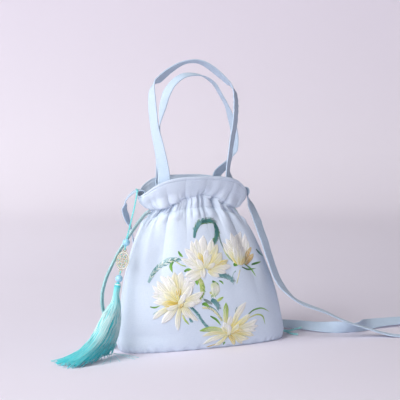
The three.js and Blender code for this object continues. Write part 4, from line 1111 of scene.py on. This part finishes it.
def guide(places, u):
    """Points of the skirt at places along it and u across the fan."""
    k = np.clip(np.floor(places).astype(int), 0, len(TASSEL_GUIDES) - 2)
    rows = lerp(TASSEL_GUIDES[k], TASSEL_GUIDES[k + 1], (places - k)[:, None, None])
    left, middle, right = np.moveaxis(rows, 1, 0)
    u = u[:, None]
    return left * u * (u - 1) / 2 + middle * (1 - u * u) + right * u * (u + 1) / 2


def skirt_path(turn, end, scale, wander):
    """A thread's path from the head down the skirt's outside, turn radians round it."""
    u, depth = math.cos(turn), math.sin(turn)
    reach = HEAD_RADIUS * 0.8 * scale
    head = on_drop([[reach * u, height, reach * depth] for height in (-1.6, -12)], HEAD_PLACE)
    places = np.linspace(0.55, end, GUIDE_PLACES)
    skirt = guide(places, np.clip(scale * u + wander[:, 0] * 0.05, -1.02, 1.02))
    skirt[:, 1] -= scale * depth * np.interp(places, (0, 2, 5, 7), (2.6, 4.0, 4.0, 1.2))
    skirt[:, 2] += scale * depth * np.interp(places, (0, 4, 7), (0.0, 1.6, 1.2))
    points = np.vstack([head, skirt + wander * 0.3])
    path = smooth_points(points, np.linspace(0, len(points) - 1, STRAND_PLACES))
    path[:, 2] = np.maximum(path[:, 2], THREAD_CLEAR)
    return path


def thread_tint(shade):
    """A thread's colours from the head to its tip; shade runs from deep to pale, and the pale tint laid over
    the middle stretch is a painted highlight.
    """
    share = np.linspace(0, 1, STRAND_PLACES)
    # Painted highlight: how far each part of the thread is mixed towards the pale tint, most along the skirt's
    # middle stretch and on pale threads.
    light = np.interp(share, (0, 0.15, 0.45, 0.65, 0.8, 1), (0.05, 0.3, 0.8, 0.55, 0.22, 0.08))
    light = np.clip(light * 2.3 * shade**1.3, 0, 1)[:, None]
    return lerp(lerp(TASSEL_DEEP, TASSEL_MIDDLE, shade), TASSEL_PALE, light)


still = np.zeros((GUIDE_PLACES, 3))
core = np.stack([skirt_path(turn, 6.2, 0.86, still) for turn in full_turn(CORE_COLUMNS)], 1)
core = np.concatenate([core, core[-1:].mean(1, keepdims=True).repeat(CORE_COLUMNS, 1)])
core_tint = thread_tint(0)[[*range(STRAND_PLACES), -1], None]
core_run = thread_run(np.linspace(0, 60, CORE_COLUMNS), np.linspace(0, 110, STRAND_PLACES + 1))
tassel.grid(core, core_run, core_tint, wrap_columns=True)
lock_shades = strands.uniform(0, 1, LOCK_COUNT) ** np.where(np.arange(LOCK_COUNT) % 2, 0.45, 2.2)
for strand in range(STRAND_COUNT):
    lock = strand % LOCK_COUNT
    turn = 2 * math.pi * (lock + strands.normal(0.5, 0.13)) / LOCK_COUNT
    shade = np.clip(0.75 * lock_shades[lock] + 0.25 * strands.uniform(-0.5, 1.5), 0, 1)
    end, wander = strands.uniform(6.0, 7.0), strands.normal(0, 1, (GUIDE_PLACES, 3))
    path = skirt_path(turn, end, 0.85 + 0.24 * shade, wander)
    tube(tassel, path, np.linspace(0.6, 0.34, STRAND_PLACES), 4, thread_tint(shade))
# Loose threads at the skirt's foot, from where each starts to where it ends
for start, finish in (
    ((-131, -31, 5), (-139, -48, 0.5)), ((-128, -27, 4), (-128, -50, 0.5)),
    ((-134, -34, 5), (-152, -56, 0.5)), ((-126, -22, 4), (-108, -46, 0.5)),
    ((-125, -20, 4), (-101, -40, 0.5)),
):
    middle = (np.array(start) + finish) / 2 + (0, 0, 0.6)
    path = smooth_points([start, middle, finish], np.linspace(0, 2, 14))
    path[:, 2] = np.maximum(path[:, 2], THREAD_CLEAR)
    tube(tassel, path, 0.24, 4, lerp(TASSEL_MIDDLE, TASSEL_PALE, 0.4))
place(tassel.piece("teal_silk_tassel", TASSEL_LOOK), "tassel_silk", "tassel")

# The embroidery's tints: from a shape's root, through its middle, to its tip
TINTS = {
    "white": ("F8F4C8", "FFFFF8", "FFFFFF"),
    "cream": ("F7F0B4", "FEFDEC", "FFFFFE"),
    "yellow": ("F1E076", "FBF6C2", "FEFDEE"),
    "gold": ("DDB43A", "F3DE74", "FBF5CC"),
    "amber": ("B07E26", "DCB04E", "F0DCB0"),
    "lime": ("E6E6A6", "BAD670", "93BF4C"),
    "green": ("4F8C36", "71B443", "9CCF62"),
    "deep_green": ("2B6138", "44863E", "74AA50"),
    "teal": ("4A8A8C", "6CA4A6", "93BEC0"),
    "deep_teal": ("2A6A66", "458A82", "6FAEA4"),
    "pale_teal": ("9CC4C6", "C8E0E0", "8FBABC"),
    "grey_green": ("76918B", "8CA49F", "A0B5B0"),
    "cream_stem": ("DDDAA6", "EEEAC4", "D3DA9C"),
    "bud": ("E6F0C4", "F6F8EE", "DDEFC0"),
}
# The flowers' petals: the front's x and z at its root and at its tip, half its width, and its tint
FLOWER_A = (
    (-14, 105, -20, 134, 5.7, "white"), (-19, 104, -26, 132, 5.1, "cream"),
    (-12, 106, -10, 138, 6.5, "white"),
    (-9, 105, 1, 133, 5.7, "cream"), (-19, 100, -35, 123, 5.9, "white"), (-17, 98, -41, 111, 4.7, "white"),
    (-7, 103, 8, 126, 6.4, "yellow"), (-6, 101, 13, 116, 6.5, "yellow"), (-3, 100, 21, 107, 4.7, "gold"),
    (-1, 97, 25, 99, 4.7, "cream"), (-2, 97, 17, 92, 4.1, "cream"), (-16, 97, -38, 90, 4.4, "cream"),
    (-15, 95, -34, 85, 4.1, "cream"), (-6, 95, 7, 88, 3.8, "cream"), (-15, 100, -14, 87, 5.1, "white"),
    (-14, 102, -19, 118, 3.8, "gold"), (-12, 102, -7, 121, 4.4, "white"), (-11, 101, -2, 115, 3.9, "cream"),
    (-15, 100, -22, 110, 3.8, "white"), (-9, 99, 2, 104, 3.3, "cream"), (-17, 98, -30, 101, 3.3, "white"),
)
FLOWER_B = (
    (31, 106, 16, 128, 4.6, "cream"), (32, 106, 21, 132, 5.2, "cream"), (34, 106, 29, 139, 6.4, "white"),
    (38, 106, 46, 139, 6.8, "white"), (42, 105, 52, 136, 5.8, "white"), (45, 104, 56, 127, 5.2, "white"),
    (47, 102, 60, 119, 4.2, "amber"), (48, 101, 62, 111, 3.4, "amber"), (32, 104, 22, 121, 4.4, "yellow"),
    (37, 106, 38, 136, 6.0, "white"), (35, 103, 32, 124, 4.8, "white"), (40, 102, 49, 121, 5.2, "white"),
    (37, 102, 40, 123, 4.8, "cream"), (36, 102, 34, 113, 3.4, "yellow"), (40, 101, 46, 110, 3.2, "gold"),
)
FLOWER_C = (
    (-39, 68, -25, 84, 5.1, "cream"), (-41, 70, -33, 90, 5.4, "white"), (-44, 72, -41, 96, 5.7, "cream"),
    (-47, 73, -50, 96, 5.4, "yellow"), (-49, 72, -58, 92, 5.1, "cream"), (-53, 70, -65, 92, 4.9, "white"),
    (-55, 68, -70, 86, 4.4, "cream"), (-56, 67, -76, 81, 3.6, "white"), (-57, 65, -76, 72, 3.6, "white"),
    (-58, 63, -78, 68, 3.3, "white"), (-57, 61, -76, 61, 3.8, "cream"), (-60, 53, -77, 41, 3.6, "cream"),
    (-51, 53, -67, 36, 5.1, "white"), (-45, 51, -47, 26, 3.6, "cream"), (-41, 53, -33, 41, 3.6, "cream"),
    (-38, 54, -22, 36, 3.3, "cream"), (-36, 59, -17, 60, 4.6, "cream"), (-36, 63, -15, 71, 4.4, "cream"),
    (-41, 65, -30, 79, 4.9, "white"), (-50, 62, -64, 73, 5.4, "yellow"), (-49, 58, -67, 59, 4.6, "gold"),
    (-48, 64, -53, 82, 4.9, "yellow"), (-47, 69, -48, 78, 4.6, "gold"), (-46, 54, -41, 61, 2.9, "gold"),
    (-48, 57, -62, 53, 3.6, "cream"), (-46, 59, -38, 71, 3.8, "white"), (-39, 57, -25, 57, 4.1, "white"),
)
FLOWER_D = (
    (26, 30, 44, 54, 4.7, "cream"), (23, 26, 32, 42, 3.6, "yellow"), (15, 33, 15, 56, 3.9, "lime"),
    (18, 26, 22, 39, 4.1, "white"), (33, 23, 61, 31, 4.2, "cream"), (30, 27, 50, 39, 4.1, "yellow"),
    (34, 21, 62, 23, 3.8, "cream"), (32, 18, 56, 11, 3.6, "yellow"), (33, 19, 59, 17, 3.3, "cream"),
    (29, 16, 49, 8, 3.3, "yellow"), (25, 15, 40, 2, 3.4, "yellow"), (21, 14, 29, 2, 3.1, "gold"),
    (11, 21, -20, 24, 3.3, "lime"), (12, 19, -16, 17, 2.8, "yellow"), (13, 17, -8, 11, 2.8, "cream"),
    (13, 15, -15, 7, 2.5, "cream"), (16, 14, 1, 4, 2.5, "yellow"), (17, 21, 12, 32, 4.1, "white"),
    (18, 19, 10, 27, 3.6, "yellow"), (23, 19, 33, 28, 3.8, "yellow"), (25, 18, 41, 19, 3.3, "gold"),
    (19, 17, 18, 29, 4.4, "white"),
)
# Leaves and stems: points of the middle line as x and z, half the width and tint. A stem says True at its end
LEAVES = (
    (((12, 140), (14, 127), (21, 114), (28, 103)), 1.1, "grey_green", True),
    (((16, 121), (19, 114), (25, 106)), 0.7, "lime", True),
    (((-33, 55), (-23, 45), (-16, 35), (-7, 26), (8, 22)), 1.8, "teal", True),
    (((-32, 53), (-25, 45), (-18, 36), (-9, 28)), 0.7, "pale_teal", True),
    (((-17, 52), (-6, 50), (3, 43), (11, 33)), 1.3, "cream_stem", True),
    (((-8, 54), (1, 48), (9, 37)), 0.6, "teal", True),
    (((37, 94), (34, 86), (31, 77)), 0.8, "cream_stem", True),
    (((31, 93), (27, 90), (25, 84)), 0.7, "pale_teal", True),
    (((-22, 135), (-19, 145), (-13, 152), (-4, 154)), 2.7, "teal"),
    (((8, 151), (10, 143), (8, 135), (3, 129)), 3.7, "deep_teal"),
    (((-13, 152), (-5, 154), (3, 154), (9, 150)), 2.3, "deep_teal"),
    (((-80, 84), (-74, 94), (-64, 103), (-54, 110), (-45, 111), (-38, 109)), 2.9, "pale_teal"),
    (((-79, 86), (-72, 98), (-60, 106), (-52, 109)), 1.6, "teal"),
    (((-1, 90), (9, 89), (20, 86), (28, 79)), 3.1, "teal"),
    (((-43, 120), (-41, 116), (-38, 113)), 1.6, "green"), (((-49, 110), (-53, 103), (-52, 95)), 1.8, "green"),
    (((-47, 108), (-41, 104), (-35, 102)), 0.7, "lime", True),
    (((-38, 96), (-34, 98), (-28, 98)), 1.8, "green"),
    (((-24, 90), (-18, 83), (-16, 73), (-20, 60)), 3.6, "lime"),
    (((-27, 88), (-24, 85), (-22, 79)), 2.5, "green"), (((-3, 83), (2, 80), (6, 77)), 1.8, "green"),
    (((6, 83), (10, 81), (12, 78)), 1.1, "green"), (((-2, 81), (1, 74), (-2, 63)), 6.5, "bud"),
    (((-1, 79), (1, 74), (0, 67)), 2.4, "lime"), (((-7, 70), (-3, 68), (1, 70)), 1.8, "lime"),
    (((2, 58), (6, 60), (12, 63)), 2.1, "lime"), (((-5, 61), (1, 57), (6, 48)), 3.4, "teal"),
    (((-15, 62), (-8, 58), (-3, 55)), 2.0, "grey_green"), (((-17, 56), (-13, 56), (-7, 52)), 2.3, "green"),
    (((-6, 41), (2, 36), (9, 28)), 1.5, "green"), (((45, 37), (55, 43), (68, 44), (81, 38)), 1.0, "green"),
    (((48, 34), (60, 37), (69, 34), (73, 23)), 1.1, "lime"),
    (((-80, 56), (-75, 55), (-68, 57)), 1.0, "green"), (((-42, 45), (-39, 39), (-33, 32)), 1.3, "lime"),
    (((-33, 40), (-31, 37), (-28, 35)), 1.6, "teal"), (((68, 116), (72, 112), (83, 105)), 1.5, "deep_teal"),
    (((28, 100), (32, 101), (35, 102)), 2.8, "green"), (((40, 97), (50, 93), (64, 93)), 1.1, "deep_green"),
    (((57, 98), (64, 99), (74, 100)), 1.5, "deep_green"), (((45, 100), (55, 93), (62, 83)), 1.0, "green"),
    (((-13, 7), (-3, 10), (9, 12)), 0.8, "green"), (((-9, 3), (1, 5), (12, 8)), 0.8, "gold"),
    (((13, 4), (14, 6), (16, 7)), 1.1, "green"), (((31, 49), (29, 46), (28, 42)), 0.7, "grey_green"),
    (((-77, 47), (-74, 49), (-71, 51)), 0.7, "pale_teal"),
)
# Feathered leaves: middle line, half width, stitches on each side and their tints
FEATHERS = (
    (((-21, 137), (-19, 145), (-13, 152), (-4, 154), (4, 154), (9, 150)), 2.9, 28,
     ("deep_teal", "grey_green", "deep_green", "teal")),
    (((8, 151), (10, 143), (8, 135), (3, 129)), 3.0, 14, ("deep_teal", "deep_green", "grey_green")),
    (((-78, 87), (-72, 96), (-62, 104), (-52, 109), (-42, 110)), 2.3, 26,
     ("teal", "pale_teal", "deep_teal", "white")),
    (((0, 90), (9, 89), (20, 86), (27, 80)), 2.6, 15, ("teal", "pale_teal", "grey_green")),
    (((-4, 60), (1, 57), (6, 49)), 2.6, 9, ("teal", "grey_green")),
    (((-31, 53), (-23, 45), (-16, 35), (-7, 27)), 1.5, 15, ("teal", "pale_teal")),
    (((-14, 52), (-6, 50), (3, 43), (10, 34)), 1.4, 12, ("grey_green", "cream_stem")),
    (((-2, 80), (0, 74), (-2, 65)), 3.4, 7, ("lime", "white", "green")),
    (((-24, 88), (-18, 82), (-16, 73), (-19, 62)), 2.4, 12, ("lime", "cream_stem", "green")),
)
PETAL_DOME = 0.5
LAYER_LIFT = 0.03
ROOT_OVERLAP = 0.12
BARB_HALF_WIDTH = 0.5
STITCH_LAYERS = 10
STITCH_HALF_WIDTH = 0.42
needle = np.random.RandomState(8)


def front_place(x, z):
    """The angle and level on the front of the cloth for its x and z."""
    low = np.full(np.shape(x), -100.0)
    high = np.full(np.shape(x), 100.0)
    for _ in range(26):
        angle = (low + high) / 2
        level = z / height_at(angle, 1.0)
        too_far = wall_point(angle, level)[..., 0] > x
        high = np.where(too_far, angle, high)
        low = np.where(too_far, low, angle)
    return angle, level


def leaf_outline(share):
    return np.interp(share, (0, 0.12, 0.35, 0.6, 0.8, 0.92, 1), (0.5, 0.72, 0.95, 1, 0.7, 0.34, 0.02))


def stem_outline(share):
    return np.interp(share, (0, 0.06, 0.9, 1), (0.4, 1, 0.9, 0.1))


def middle_line(line, share):
    """Points of a shape's middle line, and the directions along it and across it."""
    middle = smooth_points(line, share * (len(line) - 1))
    ahead = headings(middle)
    return middle, ahead, np.stack([-ahead[:, 1], ahead[:, 0]], 1)


def stitched_shape(build, line, half_width, tint, outline, layer, dome, rows=26, columns=13):
    """One padded shape of the embroidery, its middle line given as x and z on the front."""
    share = np.linspace(0, 1, rows)
    middle, _, across = middle_line(line, share)
    w = np.linspace(-1, 1, columns)
    edge = outline(share) * half_width * (1 + 0.05 * np.sin(share * 9 + needle.uniform(0, 6)))
    spots = middle[:, None] + across[:, None] * (edge[:, None] * w)[..., None]
    spots[..., 1] = np.maximum(spots[..., 1], 1.2)
    angle, level = front_place(spots[..., 0], spots[..., 1])
    rise = np.sqrt(1 - w**2) * dome * np.minimum(1, edge / half_width + 0.25)[:, None]
    is_wide = half_width > 2
    crease = 0.25 * dome * hump(w, 0.16) * is_wide
    lift = -0.12 + (LAYER_LIFT * layer + rise - crease) * (np.abs(w) < 0.999)
    points = cloth_point(angle, level) + cloth_normal(angle, level) * lift[..., None]
    stops = np.array([linear(code) for code in TINTS[tint]])
    warm = np.clip(share + needle.uniform(-0.06, 0.06), 0, 1)
    # Each shape runs from its root colour to its tip colour; its edges are darkened as painted shade where the
    # shapes overlap.
    colour = looked_up(warm, (0.05, 0.5, 0.92), stops)[:, None] * (1 - 0.2 * (np.abs(w) > 0.86))[:, None]
    # The middle of the wider shapes is darkened a little: painted shade in their crease, which also stands for
    # a vein.
    colour = colour * (1 - 0.08 * hump(w, 0.12) * is_wide)[:, None]
    colour = lerp(colour, stops[0], (0.22 * needle.uniform(0, 1, columns) ** 2)[:, None])
    colour = colour * (1 - 0.2 * needle.uniform(0, 1, columns) ** 2)[:, None]
    build.grid(points, thread_run(half_width * w + needle.uniform(0, 50), run_along(middle)), colour)


silk = Build()
for layer, (line, half_width, tint, *stem) in enumerate(LEAVES, 1):
    dome = min(PETAL_DOME, 0.25 + 0.1 * half_width)
    stitched_shape(silk, line, half_width, tint, stem_outline if stem else leaf_outline, layer % 6, dome)
for flower in (FLOWER_C, FLOWER_D, FLOWER_B, FLOWER_A):
    for i, (*ends, half_width, tint) in enumerate(flower):
        root, tip = np.array(ends, float).reshape(2, 2)
        beside = np.array([root[1] - tip[1], tip[0] - root[0]])
        middle = (root + tip) / 2 + needle.uniform(-0.09, 0.09) * beside
        root = root - ROOT_OVERLAP * (tip - root)
        stitched_shape(silk, [root, middle, tip], half_width, tint, leaf_outline, 6 + i, PETAL_DOME)
        for side, reach in ((-0.5, 0.8), (0.08, 0.9), (0.55, 0.75)):
            side += needle.uniform(-0.15, 0.15)
            reach += needle.uniform(-0.15, 0.05)
            off = side * half_width * unit(beside)
            end = lerp(middle, tip, 2 * reach - 1) + 0.7 * (1.2 - reach) * off
            shade = ("white", "white", "bud", tint)[int(needle.uniform(0, 4))]
            stitched_shape(silk, [root + 0.3 * off, middle + off, end], STITCH_HALF_WIDTH, shade, stem_outline,
                           6 + i + STITCH_LAYERS, 0.2, 12, 5)


def barbs(build, line, half_width, count, tints):
    """Short stitches that leave a leaf's middle line on both sides, as on a feather."""
    share = np.linspace(0.06, 0.92, count)
    middle, ahead, across = middle_line(line, share)
    for i in range(count):
        for hand in (-1, 1):
            lean = math.radians(hand * needle.uniform(28, 42))
            reach = half_width * (1.5 + 0.7 * math.sin(math.pi * share[i])) * needle.uniform(0.8, 1.15)
            barb = reach * (ahead[i] * math.cos(lean) + across[i] * math.sin(lean))
            tint = tints[int(needle.uniform(0, len(tints)))]
            points = [middle[i] + barb * at for at in (0, 0.55, 1)]
            stitched_shape(build, points, BARB_HALF_WIDTH, tint, stem_outline, 7 + i % 3, 0.3, 9, 5)


for line, half_width, count, tints in FEATHERS:
    barbs(silk, line, half_width, count, tints)
place(silk.piece("silk_flower_spray", SILK_LOOK), "cloth")

# The floor that curves up into a low wall all round
FLOOR_REACH = 1750.0
WALL_REACH = 2900.0
WALL_HEIGHT = 1300.0
bend_radius = WALL_REACH - FLOOR_REACH
profile = [(reach, 0.0) for reach in (0.0, 400.0, 1000.0, 1600.0)]
profile += [(FLOOR_REACH + bend_radius * math.sin(a), bend_radius * (1 - math.cos(a)))
            for a in np.linspace(0, math.pi / 2, 18)]
profile = np.array([*profile, (WALL_REACH, WALL_HEIGHT)])[..., None, None]
stage = Build()
stage_points = profile[:, 0] * swept(full_turn(128), (1, 0, 0), (0, 1, 0)) + profile[:, 1] * (0, 0, 1)
stage.grid(stage_points, wrap_columns=True, flip=True)
g = Graph("pale_backdrop")
x, y = (g.node("SeparateXYZ", {0: g.node("TexCoord", output="Object")}, k) for k in (0, 1))
far_square = x * x + y * y
backdrop_tone_and_painted_light = g.mix(g.noise(3, 2.0), linear("EDE8F4"), linear("E9E4F0"))
# Painted light: the backdrop is paler from about 0.7 m to 2 m out and less pale again where it curves up into
# the wall, standing in for the lamps' reach.
backdrop_tone_and_painted_light = g.mix(g.ranged(far_square, 0.5, 4.0), backdrop_tone_and_painted_light, linear("FBF6FF"))
backdrop_tone_and_painted_light = g.mix(g.ranged(far_square, 5.6, 8.4), backdrop_tone_and_painted_light, linear("EEE8F4"))
stage.piece("backdrop", g.finish(backdrop_tone_and_painted_light, 0.85))


# The lights
def area_light(name, at, towards, width, height, power, colour, spread=180):
    data = bpy.data.lights.new(name, "AREA")
    data.shape = "RECTANGLE"
    data.size = width
    data.size_y = height
    data.energy = power
    data.color = colour
    data.spread = math.radians(spread)
    light = added(name, data)
    light.location = at
    light.rotation_euler = (Vector(towards) - Vector(at)).to_track_quat("-Z", "Y").to_euler()
    light.visible_camera = False


area_light("left_light", (-2.1, -1.15, 1.15), (0, 0, 0.12), 1.7, 1.7, 48.5, (1.0, 0.995, 0.985))
area_light("high_left_light", (-1.5, -0.3, 1.9), (0, 0, 0.12), 1.2, 1.2, 27, (1.0, 0.99, 1.0))
area_light("backdrop_light", (-0.7, 0.8, 1.9), (0.1, 2.5, 0.1), 1.8, 1.0, 11.2, (1.0, 0.99, 1.0), 120)
world = bpy.data.worlds.new("soft_room")
bpy.context.scene.world = world
world.use_nodes = True
world.node_tree.nodes["Background"].inputs[0].default_value = (1.0, 0.99, 0.97, 1)
world.node_tree.nodes["Background"].inputs[1].default_value = 0.15
bpy.context.scene.view_settings.view_transform = "Standard"
